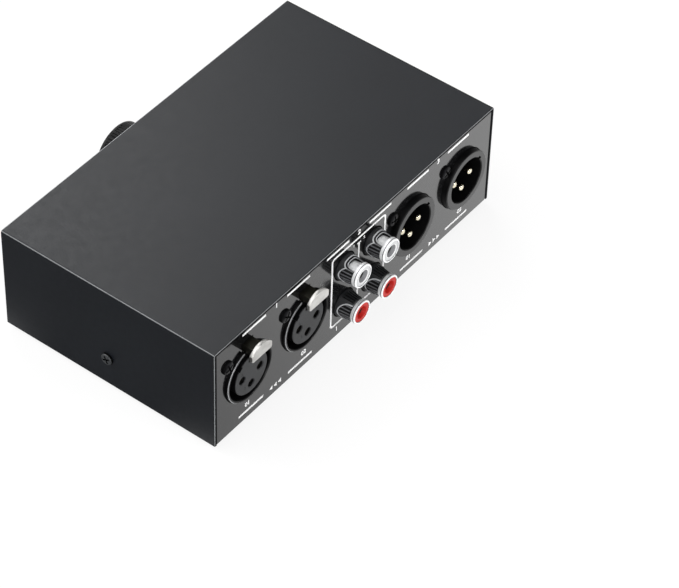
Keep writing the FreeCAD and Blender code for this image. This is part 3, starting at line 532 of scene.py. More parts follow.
def numeral(words, x, y, z, size, proud, faceRear):  # plain figures, made a mesh before being placed
    clearSelection()
    bpy.ops.object.text_add()
    text = bpy.context.object
    text.data.body = words
    text.data.size = size
    text.data.extrude = proud
    text.data.offset = 0.03 * size  # a bold stroke
    text.data.align_x, text.data.align_y = "CENTER", "CENTER"
    text.data.resolution_u = 3
    bpy.ops.object.convert(target="MESH")
    text = bpy.context.object
    text.rotation_euler = (quarter, 0, pi if faceRear else 0)
    text.location = (x, y, z)
    piece = settle("figure")
    piece.data.materials.clear()
    return closed(piece, sides=pinhole)


# folded cover: a box without its ends and floor, folds rounded, given the sheet's thickness
cover = {
    "sheet": 1.0, "fold": 0.8, "foldSteps": 5, "edge": 0.3, "edgeSteps": 3, "hole": 1.65,
    "outerSkin": 0.4, "frontBand": 0.4, "foldBand": 0.5,
}


def addCover():
    spec = cover
    piece = block("coverShell", coverLow, coverHigh)
    choose(piece, "faces", lambda face: abs(face.normal.y) > 0.5 or face.normal.z < -0.5)
    bpy.ops.mesh.delete(type="FACE")
    leaveEdit()
    rounded(piece, lambda edge: len(edge.link_faces) == 2, spec["fold"], spec["foldSteps"])
    applied(piece, "SOLIDIFY", thickness=spec["sheet"], offset=-1, use_even_offset=True)
    middle = middleOf("cover_screws")
    combined(piece, [rod("screwHole", 40, spec["hole"], 200, (0, middle.y, middle.z), (0, quarter, 0))])

    def atOutside(centre):
        return max(abs(centre.x) - coverHigh.x, centre.z - coverHigh.z) > -spec["outerSkin"]

    def isOuterCorner(edge):
        ends = [v.co for v in edge.verts]
        atCut = [all(abs(e.y - y) < 0.01 for e in ends) for y in (coverLow.y, coverHigh.y)]
        atFoot = all(e.z < coverLow.z + 0.01 for e in ends)
        return (any(atCut) or atFoot) and all(atOutside(e) for e in ends)

    rounded(piece, isOuterCorner, spec["edge"], spec["edgeSteps"])
    dress(piece, finishes["cover_paint"], coatEdgeHighlight, paintedShadeEdge, frontEdge)

    def isDark(centre, normal):  # painted shade: the cut ends, and the fold on the side away from the camera
        onFold = normal.x < -0.1 and normal.z > 0.55 and centre.z > coverHigh.z - spec["fold"]
        return abs(normal.y) > 0.05 or onFold

    def isPale(centre, normal):  # painted highlight: corners of the cut ends, and the near fold
        onCorner = 0.5 < abs(normal.y) < 0.99 and atOutside(centre)
        onFold = min(normal.x, normal.z) > 0.6 and centre.z > coverHigh.z - spec["foldBand"]
        return onCorner or onFold

    def isRubbed(centre, normal):  # painted highlight: the front end of the top
        inBand = centre.y < coverLow.y + spec["frontBand"] and atOutside(centre)
        return inBand and normal.z > 0.6 and normal.y < -0.05

    paintFaces(piece, 2, isDark)
    paintFaces(piece, 1, isPale)
    paintFaces(piece, 3, isRubbed)
    finished(piece, "cover_paint", "top_cover", angle=30)


addCover()
print("cover ready")


# balanced sockets: shared body, with a barrel through the panel
socket = {
    "panel": 1.2, "flangeDepth": 3.0, "flangeOverhang": 1.2, "flangeEdge": 0.3, "overlap": 0.5,
    "screwAt": (9.6, 9.4), "thread": ((-8, 1.42), (1, 1.42)), "tail": 1.02,
    "contactCircle": 4.19, "contactAngles": (0, 180, 270),
    "barrel": 10.6, "barrelBack": -2.2,
    "barrelEdge": ((0.42, 0), (0.24, 0.05), (0.10, 0.14), (0.02, 0.27)),  # behind the rim, off the radius
}
pins = [middleOf("output_socket_%d_pins" % i).x for i in (1, 2)]
inserts = [middleOf("input_socket_%d_insert" % i).x for i in (1, 2)]


def socketBody(name, node, x, proud, rim):
    spec = socket
    low, high = spanOf(node)
    inner, lip, wide = out(-spec["panel"]), spec["flangeOverhang"], spec["barrel"]
    flangeBack = inner - spec["flangeDepth"]
    flange = block("flange", (low.x, flangeBack, low.z), (high.x, inner, high.z))
    softened(flange, spec["flangeEdge"])
    body = block(name, (low.x + lip, low.y, low.z), (high.x - lip, flangeBack + spec["overlap"], high.z))
    edge = [(proud - behind, wide - off) for behind, off in spec["barrelEdge"]]
    rings = [(spec["barrelBack"], wide)] + edge + [(proud, rim), (proud, onAxis)]
    combined(body, [flange, turned("barrel", x, socketZ, profile(rings), 96)], "UNION")
    across, up = spec["screwAt"]
    return combined(body, [turned("thread", x + across, socketZ + up, profile(spec["thread"]), 24)])


def contactPlaces(x):
    reach = socket["contactCircle"]
    return [(x + reach * cos(radians(a)), socketZ + reach * sin(radians(a)))
            for a in socket["contactAngles"]]


def tailHoles(x, node, floor):  # for the tails of the contacts
    ends = [(spanOf(node)[0].y - 1, socket["tail"]), (out(floor + 1), socket["tail"])]
    return [turned("tail", px, pz, ends, 20) for px, pz in contactPlaces(x)]


def keyway(x, spec, back, front):  # a bar at the key's angle, square to the radius
    turn = radians(spec["keyAngle"])
    half, high = spec["keyHalf"]
    keyX, keyZ = x + spec["keyReach"] * cos(turn), socketZ + spec["keyReach"] * sin(turn)
    return block("key", (keyX - half, out(back), keyZ - high), (keyX + half, out(front), keyZ + high), -turn)


# input sockets: groove and insert for a plug's shell, with a latch over them
inputSocket = {
    "proud": 1.15, "rim": 10.32, "rimBand": 0.25, "edge": 0.1, "floor": -12.85,
    "groove": ((-12.85, 9.6), (0.6, 9.6), (1.17, 9.95), (2.15, 10.55)),
    "latchHalf": 2.65, "latchLow": 9.0, "latchHigh": 13.5, "channelHalf": 4.1, "channelFront": -4.2,
    "insertFace": 1.5,
    "insert": ((-12.85, 7.6), (1.2, 7.6), (1.38, 7.54), (1.47, 7.44), (1.5, 7.28), (1.5, onAxis)),
    "slotHalf": 1.3, "slotBack": -0.5, "slotLow": 5.6, "slotHigh": 8.6,
    "keyAngle": 47, "keyReach": 8.0, "keyHalf": (1.0, 0.9), "keyBack": -13.35, "keyFront": 2.5,
    "hole": ((-13.85, 1.74), (0.32, 1.74), (0.32, 1.42), (1.25, 1.42), (1.55, 1.7), (2.0, 2.1)),
    "mark": 1.5, "markProud": 0.05, "marks": (("2", 0, 2.6), ("1", 0, 2.6), ("3", 2.9, 0)),
}


def addInputHousings():
    spec = inputSocket
    first, front, node = inserts[0], spec["proud"], "input_socket_1_housing"
    body = socketBody("inputHousing1", node, first, front, spec["rim"])
    groove = turned("groove", first, socketZ, profile(spec["groove"]), 96)
    low, high = socketZ + spec["latchLow"], socketZ + spec["latchHigh"]
    latchBack = spanOf("input_socket_1_latch")[0].y
    springBack = spanOf("input_socket_1_latch_spring")[0].y
    mouth = slab("mouth", first, spec["latchHalf"], latchBack, out(front + 1), low, high)
    channel = slab("channel", first, spec["channelHalf"], springBack, out(spec["channelFront"]),
                   low, spanOf(node)[1].z + 1)
    combined(body, [groove, mouth, channel] + tailHoles(first, node, spec["floor"]))
    closed(body, sides=pinhole)
    softened(body, spec["edge"], 1, 50, material=1)
    dress(body, finishes["black_plastic"], paintedEdgeHighlight)

    # the rim's outer rounding, which gets the painted highlight
    def onRim(centre, normal):
        reach = hypot(centre.x - first, centre.z - socketZ)
        inBand = reach > spec["rim"] - 0.02 and centre.y > out(front - spec["rimBand"])
        return inBand and 0.2 < normal.y < 0.97

    paintFaces(body, 0, lambda centre, normal: centre.y < out(0))
    paintFaces(body, 1, onRim)
    finishedPair(body, inserts, "black_plastic", "input_socket_{}_housing")


def addInputInserts():
    spec = inputSocket
    first, face = inserts[0], out(spec["insertFace"])
    piece = turned("inputInsert1", first, socketZ, profile(spec["insert"]), 96)
    low, high = socketZ + spec["slotLow"], socketZ + spec["slotHigh"]
    slot = slab("slot", first, spec["slotHalf"], out(spec["slotBack"]), face + 1, low, high)
    key = keyway(first, spec, spec["keyBack"], spec["keyFront"])
    holes = [turned("hole", px, pz, profile(spec["hole"]), 40) for px, pz in contactPlaces(first)]
    combined(piece, [slot, key] + holes)
    marks = [numeral(figure, px + dx, face, pz + dz, spec["mark"], spec["markProud"], True)
             for (px, pz), (figure, dx, dz) in zip(contactPlaces(first), spec["marks"])]
    piece = joined("inputInsert1", [piece] + marks)
    dress(piece, finishes["grey_plastic"], finishes["black_plastic"])
    # painted shade: the holes and the insert's side, deeper than its face, painted black
    paintFaces(piece, 1, lambda centre, normal: centre.y < face - 0.2)
    finishedPair(piece, inserts, "grey_plastic", "input_socket_{}_insert")


# latches: a thumb plate on a neck, with a hook that reaches into the groove
latch = {
    "foot": 10.4, "corner": 0.9, "cornerSteps": 6, "thickness": 1.3, "arch": 5.8, "edge": 0.2,
    "neckHalf": 2.35, "neckHeight": 2.8, "neckEdge": 0.25, "shoulderHalf": 3.8, "shoulderFront": -4.5,
    "shoulderEdge": 0.2, "overlap": (0.5, 0.3), "hookHalf": 1.5, "hook": (-2.45, -0.45), "hookRise": 0.5,
}


def addLatches():
    spec = latch
    low, high = spanOf("input_socket_1_latch")
    x, face = inserts[0], high.y
    foot, reach, back = socketZ + spec["foot"], spec["arch"], face - spec["thickness"]
    plate = slab("latch1", x, (high.x - low.x) / 2, back, face, foot, high.z + 1)
    crown = turned("crown", x, high.z - reach, [(back - 1, reach), (face + 1, reach)], 96)
    combined(plate, [crown], "INTERSECT")

    def isFootCorner(edge):
        ends = [v.co for v in edge.verts]
        return abs(ends[0].y - ends[1].y) > 0.5 and all(abs(e.z - foot) < 0.01 for e in ends)

    rounded(plate, isFootCorner, spec["corner"], spec["cornerSteps"])
    softened(plate, spec["edge"], 3, 50, use_clamp_overlap=False)
    shoulderFront, neckTop = out(spec["shoulderFront"]), foot + spec["neckHeight"]
    neckBack, neckFront = shoulderFront - spec["overlap"][0], back + spec["overlap"][1]
    neck = slab("neck", x, spec["neckHalf"], neckBack, neckFront, foot, neckTop)
    softened(neck, spec["neckEdge"], 2, 50)
    shoulder = slab("shoulder", x, spec["shoulderHalf"], low.y, shoulderFront, foot, neckTop)
    softened(shoulder, spec["shoulderEdge"], 2, 50)
    near, far = (out(distance) for distance in spec["hook"])
    hook = slab("hook", x, spec["hookHalf"], near, far, low.z, foot + spec["hookRise"])
    combined(plate, [neck, shoulder, hook], "UNION")
    dress(plate, finishes["latch_nickel"], latchShadeNickel)
    # what lies behind the plate gets the painted shade
    paintFaces(plate, 1, lambda centre, normal: centre.y < back - 0.02)
    finishedPair(plate, inserts, "latch_nickel", "input_socket_{}_latch", "latch_{}")


# output sockets: a deep well with three pins
outputSocket = {
    "proud": 2.1, "rim": 10.25, "floor": -10.4,
    "well": ((-10.4, 8.075), (1.8, 8.075), (2.12, 8.325), (3.1, 8.975)),
    "keyAngle": 141, "keyReach": 8.075, "keyHalf": (0.8, 0.85),
}


def addOutputHousings():
    spec = outputSocket
    first, front, node = pins[0], spec["proud"], "output_socket_1_housing"
    body = socketBody("outputHousing1", node, first, front, spec["rim"])
    well = turned("well", first, socketZ, profile(spec["well"]), 96)
    key = keyway(first, spec, spec["floor"], front + 1)
    combined(body, [well, key] + tailHoles(first, node, spec["floor"]))
    dress(body, finishes["black_plastic"], rimPlastic)
    paintFaces(body, 1, lambda centre, normal: centre.y > out(front) - 0.02 and normal.y > 0.9)
    finishedPair(body, pins, "black_plastic", "output_socket_{}_housing")


addInputHousings()
addInputInserts()
addLatches()
addOutputHousings()
print("sockets ready")


# phono jacks: block, tapered sleeves, turned shells and insulators; profiles are out of the panel, and radius
phono = {
    "blockBack": -11.4, "blockFront": -1.4, "blockEdge": 0.4,
    "bore": ((-12.4, 0.52), (-3.4, 0.52), (-3.4, 2.97), (0, 2.97)),
    "sleeveFoot": 4.5, "sleeveBase": 4.8, "sleeveTip": 4.2, "sleeveEnd": 5.5, "sleeveEdge": 0.15,
    "shoulder": 0.3, "inside": 2.97, "insideEnd": 3.42, "insideTurn": 1.0,
    "ledge": 0.12, "ledgeWidth": 0.36, "recess": 0.42, "windowRecess": 0.3, "step": 0.5, "lip": 0.22,
    "window": 3.4, "windowFrom": 1.6, "windowRound": 1.6, "windowZ": (0.5, 6), "cutEnd": 8,
    "flank": 3.0, "flankFrom": 1.0, "flankLift": 0.55, "flankReach": (0.8, 6), "flankMiddle": 3,
    "ribs": 7, "ribFirst": -50, "ribTurn": 12, "ribFrom": 1.2, "ribHalf": 0.17, "ribDepth": 0.25,
    "ribStop": 0.1,
    "flankRibs": (46, 62, 78, 94, 110), "flankRibFoot": 0.08, "flankRibTop": 0.2, "flankRibGap": 0.2,
    "skin": (0.1, 7), "skinRadius": 7, "offset": 0.011,  # keeps the cutters' edges off the sleeve's own
    "shell": (
        (-3.4, 2.5), (-3.4, 2.95), (1.0, 2.95), (1.6, 2.97), (5.45, 3.4), (5.7, 3.5), (5.7, 3.95),
        (5.76, 4.09), (5.9, 4.15), (6.74, 4.15), (6.78, 4.05), (6.98, 4.05), (7.02, 4.15), (7.18, 4.11),
        (7.32, 4.01), (7.4, 3.83), (7.4, 3.63), (7.3, 3.55), (6.3, 3.55), (6.3, 2.5), (-3.4, 2.5)),
    "shellGroove": (6.73, 7.03),
    "insulator": (
        (-3.4, 2.12), (-3.4, 2.48), (6.3, 2.48), (6.3, 3.53), (7.13, 3.53), (7.25, 3.39), (7.25, 2.46),
        (7.3, 2.42), (7.3, 2.32), (7.2, 2.24), (7.0, 2.08), (6.07, 1.62), (6.07, 2.12), (-3.4, 2.12)),
    "lipZone": (2.45, 7.15), "funnelZone": (2.2, 7.21),
}
# the sleeves' nylon, the ledges' painted highlight, black nylon as painted shade in recesses and grooves, the
# ribs' painted highlight
jackFinishes = (jackBody, sleeveLedgeHighlight, finishes["black_plastic"], jackRibHighlight)
low, high = spanOf("phono_insulators_white")
jackX = high.x - (high.z - low.z) / 2
upperZ, lowerZ = (middleOf("phono_insulators_" + tone).z for tone in ("white", "red"))


def arch(x0, x1, z, half, start):  # a half-round slot seen from the side, open towards the ring
    middle = out(start + half)
    slot = rod("arch", 44, half, x1 - x0, ((x0 + x1) / 2, middle, z + phono["offset"]), (0, quarter, 0))
    return moved(slot, lambda vert: vert.co.y > middle + 0.01, (0, out(phono["cutEnd"]) - middle, 0))


def window(x, z, half, start, corner):  # a slot with rounded corners in the sleeve's top
    low, high = phono["windowZ"]
    slot = slab("window", x + phono["offset"], half, out(start), out(phono["cutEnd"]), z + low, z + high)
    return rounded(slot, lambda edge: all(v.co.y < out(start) + 0.01 for v in edge.verts)
                   and abs(edge.verts[0].co.z - edge.verts[1].co.z) > 1, corner, 8)


def sleeveAt(distance):  # the sleeve's radius at this distance out of the panel
    base, tip = phono["sleeveBase"], phono["sleeveTip"]
    return base + (tip - base) * distance / phono["sleeveEnd"]


def skin(x, z, depth):  # what lies outside the sleeve's surface and this far into it
    aside, wide = phono["offset"], phono["skinRadius"]
    near, far = ((distance, sleeveAt(distance) - depth) for distance in phono["skin"])
    rings = profile([near, (near[0], wide), (far[0], wide), far, near])
    return turned("skin", x + aside, z + aside, rings, 82)


def carve(sleeve, tool, index):  # cuts, and paints what it cut
    dress(tool, *jackFinishes)
    paintFaces(tool, index)
    combined(sleeve, [tool])


def bar(x, z, angle, floor, top, start):  # a bar that follows the sleeve's taper
    turn, half, end = radians(angle), phono["ribHalf"], phono["sleeveEnd"] - phono["ribStop"]
    reach, high = sleeveAt(start) + (floor + top) / 2, (top - floor) / 2
    barX, barZ = x + reach * sin(turn), z + reach * cos(turn)
    made = block("bar", (barX - half, out(start), barZ - high), (barX + half, out(end), barZ + high), turn)
    drop = sleeveAt(end) - sleeveAt(start)
    return moved(made, lambda vert: vert.co.y > out((start + end) / 2),
                 (drop * sin(turn), 0, drop * cos(turn)))


def flankRibs(x, z, side):
    spec, wide = phono, phono["flank"]
    floor, top = -spec["recess"] - spec["flankRibFoot"], -spec["recess"] + spec["flankRibTop"]
    made = []
    for angle in spec["flankRibs"]:  # each rib starts inside the recess's round end
        lift = sleeveAt(spec["flankMiddle"]) * cos(radians(angle)) - spec["flankLift"]
        start = spec["flankFrom"] + wide - sqrt(max(wide ** 2 - lift ** 2, 0))
        rib = bar(x, z, side * angle, floor, top, start + spec["ledgeWidth"] + spec["flankRibGap"])
        dress(rib, *jackFinishes)
        # the flank ribs get the painted highlight
        paintFaces(rib, 3)
        made.append(rib)
    return made


def jackSleeve(x, z, upper):
    spec = phono
    start, end, inside = spec["blockFront"] - 0.5, spec["sleeveEnd"], spec["inside"]
    foot, edge, shoulder = spec["sleeveFoot"], spec["sleeveEdge"], spec["shoulder"]
    sleeve = turned("sleeve", x, z, profile([
        (start, foot), (0, foot), (shoulder, sleeveAt(shoulder)), (end - edge, sleeveAt(end - edge)),
        (end, spec["sleeveTip"] - edge), (end, spec["insideEnd"]), (spec["insideTurn"], inside),
        (start, inside), (start, foot)]))
    dress(sleeve, *jackFinishes)
    ledge, width, recess = spec["ledge"], spec["ledgeWidth"], spec["recess"]
    ribs = []
    for side in (-1, 1):  # flank recesses painted as shade, with a ledge round them painted as a highlight
        near, far = sorted(x + side * reach for reach in spec["flankReach"])
        for depth, shrink, index in ((ledge, 0, 1), (recess, width, 2)):
            slot = arch(near, far, z + spec["flankLift"], spec["flank"] - shrink, spec["flankFrom"] + shrink)
            carve(sleeve, combined(skin(x, z, depth), [slot], "INTERSECT"), index)
        ribs += flankRibs(x, z, side)
    if upper:
        half, begin, corner = spec["window"], spec["windowFrom"], spec["windowRound"]
        step = width + spec["step"]
        # the window's ledges get the painted highlight, its recess and through cut the painted shade
        cuts = ((ledge + 0.01, 0, 1), (spec["windowRecess"], width, 2), (recess + 0.02, step, 1))
        for depth, shrink, index in cuts:  # a little off the flanks' depths, so that no faces coincide
            slot = window(x, z, half - shrink, begin + shrink, corner - shrink / 2)
            carve(sleeve, combined(skin(x, z, depth), [slot], "INTERSECT"), index)
        step += spec["lip"]
        carve(sleeve, window(x, z, half - step, begin + step, corner - step / 2), 2)
    else:
        # the lower sleeves' rib grooves are painted black as shade
        for i in range(spec["ribs"]):
            angle = spec["ribFirst"] + i * spec["ribTurn"]
            carve(sleeve, bar(x, z, angle, -spec["ribDepth"], 0.5, spec["ribFrom"]), 2)
    return joined("sleeve", [sleeve] + ribs)


def addPhonoBlock():
    spec = phono
    low, high = spanOf("phono_block")
    back, front = out(spec["blockBack"]), out(spec["blockFront"])
    body = block("phonoBlock", (low.x, back, low.z), (high.x, front, high.z))
    softened(body, spec["blockEdge"])
    tools, sleeves = [], []
    for z in (upperZ, lowerZ):
        sleeves.append(jackSleeve(jackX, z, z == upperZ))
        sleeves.append(copied(sleeves[-1], "sleeve", -2 * jackX))
        tools += [turned("bore", x, z, profile(spec["bore"]), 40) for x in (jackX, -jackX)]
    combined(body, tools)
    dress(body, *jackFinishes)
    finished(joined("phonoBlock", [body] + sleeves), "black_plastic", "phono_block")


def addPhonoShells():
    first = turned("shell", jackX, upperZ, profile(phono["shell"]), 96)
    across, down = -2 * jackX, lowerZ - upperZ
    steps = ((across, 0), (0, down), (across, down))
    piece = joined("phonoShells", [first] + [copied(first, "shell", *step) for step in steps])
    dress(piece, finishes["phono_nickel"], grooveShade)
    near, far = phono["shellGroove"]
    # the groove gets the painted shade
    paintFaces(piece, 1, lambda centre, normal: out(near) < centre.y < out(far))
    finished(piece, "phono_nickel", "phono_shells")


def addInsulators(name, z, slot, node, funnel, lip):
    first = turned(name, jackX, z, profile(phono["insulator"]))
    piece = joined(name, [first, copied(first, "insulator", -2 * jackX)])
    dress(piece, finishes[slot], funnel, lip)

    def within(centre, radius):
        return hypot(abs(centre.x) - jackX, centre.z - z) < radius

    # the funnel gets the painted shade, and the lip the painted highlight, which on the red jacks is plain
    # red
    for index, key, way in ((2, "lipZone", 1), (1, "funnelZone", -1)):
        radius, distance = phono[key]
        paintFaces(piece, index, lambda centre, normal: within(centre, radius)
                   and (centre.y - out(distance)) * way > 0)
    finished(piece, slot, node)


addPhonoBlock()
addPhonoShells()
addInsulators("whiteInsulators", upperZ, "white_plastic", "phono_insulators_white", whiteFunnelShade, whiteLipHighlight)
addInsulators("redInsulators", lowerZ, "red_plastic", "phono_insulators_red", redFunnelShade,
              finishes["red_plastic"])
print("phono jacks ready")


# cross-head screws: domed heads with a recess, in the sockets and in the cover
screws = {
    "socket": {"head": 2.35, "height": 1.1, "flat": 0.3, "shank": 1.4, "length": 6.0},
    "cover": {"head": 2.1, "height": 1.0, "flat": 0.78, "shank": 1.45, "length": 5.0},
    "brim": 0.28, "domeSteps": 8, "domeTurn": 11, "paintedShadeBelow": 0.7, "edge": 0.05, "point": (0.7, 0.6),
    "recessHalf": 0.32, "recessReach": 0.7, "recessFloor": 0.4,
}


def crossHead(kind, coat):  # one screw along Y, seated at the origin
    spec = screws[kind]
    head, height, flat, brim = spec["head"], spec["height"], spec["flat"], screws["brim"]
    shank, end = spec["shank"], -spec["length"]
    slim, taper = screws["point"]
    rings = [(end, shank * slim), (end + taper, shank), (0, shank), (0, head), (height * brim, head)]
    for step in range(1, screws["domeSteps"] + 1):
        turn = radians(step * screws["domeTurn"])
        rise, wide = brim + (1 - brim) * sin(turn), flat + (1 - flat) * cos(turn)
        rings.append((height * rise, head * wide))
    piece = turned("screw", 0, 0, rings + [(height, onAxis)], 48)
    half, reach, floor = screws["recessHalf"], head * screws["recessReach"], height * screws["recessFloor"]
    bars = [block("bar", (-reach, floor, -half), (reach, height + 1, half)),
            block("bar", (-half, floor, -reach), (half, height + 1, reach))]
    for tool in [piece] + bars:
        dress(tool, coat, paintedShadeEdge)
    # painted shade: the cross recess and the head's lower part painted black
    for tool in bars:
        paintFaces(tool, 1)
    paintFaces(piece, 1, lambda centre, normal: centre.y < height * screws["paintedShadeBelow"])
    combined(piece, bars)
    return softened(piece, screws["edge"], 1, 50)


def addScrews(name, kind, coat, node, seats):  # a seat is a place, with turns about Y and Z in degrees
    master = crossHead(kind, coat)
    made = []
    for place, turnY, turnZ in seats:
        twin = copied(master, name)
        twin.rotation_euler = (0, radians(turnY), radians(turnZ))
        twin.location = place
        pick(twin)
        made.append(settle(name))
    bpy.data.objects.remove(master)
    finished(joined(name, made), "black_steel", node)


across, up = socket["screwAt"]
seats = [((x + across, rearY, socketZ + up), 20 + 33 * order, 0) for order, x in enumerate(inserts + pins)]
addScrews("socketScrews", "socket", finishes["black_steel"], "socket_screws", seats)
middle = middleOf("cover_screws")
seats = [((coverHigh.x * side, middle.y, middle.z), 25, -90 * side) for side in (-1, 1)]
addScrews("coverScrews", "cover", screwCoat, "cover_screws", seats)
print("screws ready")


# volume knob: fine ribs round the side, a smooth front rim and a pointer line
knob = {
    "columns": 360, "ribEvery": 6, "grooveColumns": 3, "ribDepth": 0.25, "ribStop": 0.5,
    "rim": 1.2, "rimStep": 0.05,
    "edge": 0.35, "cavity": 8.0, "cavityEnd": 5.8, "shaft": 3.02, "shaftEnd": 12.5,
    "frontEdge": ((0.45, 0), (0.225, 0.12), (0.06, 0.36), (0, 0.6)),  # behind the front, off the radius
    "dish": 0.35, "dishEdge": 8.9, "dishSlope": 0.4,
    "pointer": (0.55, 3.4), "pointerInset": 0.9, "pointerY": (-0.04, 0.1), "pointerEdge": 0.02,
}


def addKnob():
    spec = knob
    low, high = spanOf("volume_knob")
    x, z, radius = 0.0, (low.z + high.z) / 2, (high.z - low.z) / 2
    front, edge, dishEdge = low.y, spec["edge"], spec["dishEdge"]
    cavity, shaft = spec["cavity"], spec["shaft"]
    ribFront, ribBack, dishFace = front + spec["rim"], high.y - spec["ribStop"], front + spec["dish"]
    shaftEnd, cavityEnd = frontY - spec["shaftEnd"], frontY - spec["cavityEnd"]
    rings = [(shaftEnd, onAxis), (shaftEnd, shaft), (cavityEnd, shaft), (cavityEnd, cavity),
             (high.y, cavity), (high.y, radius - edge), (high.y - edge, radius), (ribBack, radius),
             (ribFront, radius), (ribFront - spec["rimStep"], radius)]
    rings += [(front + behind, radius - off) for behind, off in spec["frontEdge"]]
    rings += [(front, dishEdge), (dishFace, dishEdge - spec["dishSlope"]), (dishFace, onAxis)]
    piece = turned("volumeKnob", x, z, rings, spec["columns"])
    turnStep = 2 * pi / spec["columns"]

    def inGroove(vert):
        reach = hypot(vert.co.x - x, vert.co.z - z)
        column = round(atan2(vert.co.z - z, vert.co.x - x) / turnStep) % spec["ribEvery"]
        inZone = ribFront - 0.01 < vert.co.y < ribBack + 0.01
        return reach > radius - 0.01 and inZone and column < spec["grooveColumns"]

    choose(piece, "verts", inGroove)
    shrink = (radius - spec["ribDepth"]) / radius
    bpy.ops.transform.resize(value=(shrink, 1, shrink), center_override=(x, (ribFront + ribBack) / 2, z))
    leaveEdit()
    finished(piece, "knob_plastic", "volume_knob", body="volume", angle=40)
    half, length = spec["pointer"]
    top = z + dishEdge - spec["pointerInset"]
    near, far = (dishFace + step for step in spec["pointerY"])
    line = slab("knobPointer", x, half, near, far, top - length, top)
    finished(dress(softened(line, spec["pointerEdge"], 1), ink), None, body="volume")


addKnob()
print("knob ready")


# push buttons: tapered caps with a dished face, whose rings are behind it, and radius
button = {
    "base": 3.3, "socketHalf": 1.42, "socketDepth": 3.0,
    "face": ((0.4, 2.46), (0.16, 2.36), (0.04, 2.24), (0, 2.08), (0, 1.9), (0.12, 1.6), (0.22, 1.1),
             (0.3, onAxis)),
}


def addButtons():
    half, base = button["socketHalf"], button["base"]
    for side in ("input", "output"):
        (low, high), middle = spanOf(side + "_button"), middleOf(side + "_button")
        x, z = middle.x, middle.z
        rings = [(high.y, base), (frontY, base)] + [(low.y + behind, r) for behind, r in button["face"]]
        piece = turned(side + "ButtonCap", x, z, rings, 64)
        back = high.y - button["socketDepth"]
        combined(piece, [slab("plungerHole", x, half, back, high.y + 1, z - half, z + half)])
        finished(piece, "knob_plastic", side + "_button", body=side + "_button")


addButtons()


# rubber feet: rounded discs with a shallow hollow underneath
foot = {"radius": 5.0, "height": 2.0, "edge": 0.5, "edgeSteps": 4, "hollow": 2.6, "hollowDepth": 0.4}


def addFeet():
    low, high = spanOf("rubber_feet")
    reach = foot["radius"]
    made = []
    for x in (low.x + reach, high.x - reach):
        for y in (low.y + reach, high.y - reach):
            piece = rod("rubberFoot", 56, reach, foot["height"], (x, y, foot["height"] / 2))
            rounded(piece, lambda face: face.normal.z < -0.5, foot["edge"], foot["edgeSteps"], "faces")
            choose(piece, "faces", lambda face: face.normal.z < -0.99)
            bpy.ops.mesh.inset(thickness=reach - foot["edge"] - foot["hollow"])
            bpy.ops.mesh.inset(thickness=foot["hollowDepth"], depth=-foot["hollowDepth"])
            leaveEdit()
            made.append(piece)
    finished(joined("rubberFeet", made), "rubber", "rubber_feet")


addFeet()
print("buttons and feet ready")


# coil springs: a wire ring wound along Y, its two ends capped
springs = {"wire": 0.4, "turns": 7, "sides": 10, "steps": 20, "latchTravel": 1.8, "buttonTravel": 2.0}


def addSpring(name, node):
    (low, high), middle = spanOf(node), middleOf(node)
    wire, turns, steps = springs["wire"] / 2, springs["turns"], springs["steps"]
    radius, length = (high.x - low.x) / 2 - wire, high.y - low.y - 2 * wire
    clearSelection()
    bpy.ops.mesh.primitive_circle_add(vertices=springs["sides"], radius=wire, location=(radius, 0, 0))
    piece = settle(name)
    piece.location = (middle.x, low.y + wire, middle.z)
    applied(piece, "SCREW", axis="Y", angle=2 * pi, screw_offset=length / turns, iterations=turns,
            steps=steps, render_steps=steps, use_merge_vertices=True, use_normal_calculate=True)
    finished(closed(settle(name), 0.001), "steel", node)
    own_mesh(piece)


for i in (1, 2):
    node = "input_socket_%d_latch_spring" % i
    addSpring("latchSpring%d" % i, node)
for side in ("input", "output"):
    node, joint = side + "_switch_spring", side + "_button_press"
    addSpring(side + "SwitchSpring", node)
print("springs ready")


# printed lines, plain numbers and arrows on the rear panel
rearPrint = {
    "proud": 0.04, "line": 0.85, "topZ": 39.2, "lowZ": 5.0, "labelZ": 7.9,
    "topRule": (5.1, 16.1), "lowRule": (6.1, 17.85), "figure": 2.7, "smallFigure": 2.4,
    "arrow": 1.0, "arrowSteps": (-2.1, 0, 2.1),
    "frameHalf": 13.65, "frameZ": (7.0, 37.15), "frameCorner": 1.5, "frameLine": 0.75,
    "divider": (8.6, 34.4), "dividerBar": 0.9, "dividerCap": (0.02, 0.5),
    "jackFigure": 1.4, "jackFigureAt": (2.6, 0.6), "groupFigureX": 10.2,
}


def outlineFrame(x0, x1, z0, z1, corner, line, y, proud):  # a rounded rectangle, hollowed to its line
    outer = block("printFrame", (x0, y, z0), (x1, y + proud, z1))
    inner = block("frameHole", (x0 + line, y - 1, z0 + line), (x1 - line, y + 1, z1 - line))

    def runsBack(edge):
        a, b = (v.co for v in edge.verts)
        return abs(a.x - b.x) < 1e-4 and abs(a.z - b.z) < 1e-4

    for piece, radius in ((outer, corner), (inner, corner - line)):
        rounded(piece, runsBack, radius, 6)
    return combined(outer, [inner])


def finishPrint(name, marks, figures, y, proud, faceRear):  # a figure is its words, x, z and size
    marks += [numeral(words, x, y, z, size, proud, faceRear) for words, x, z, size in figures]
    finished(dress(joined(name, marks), ink), None)


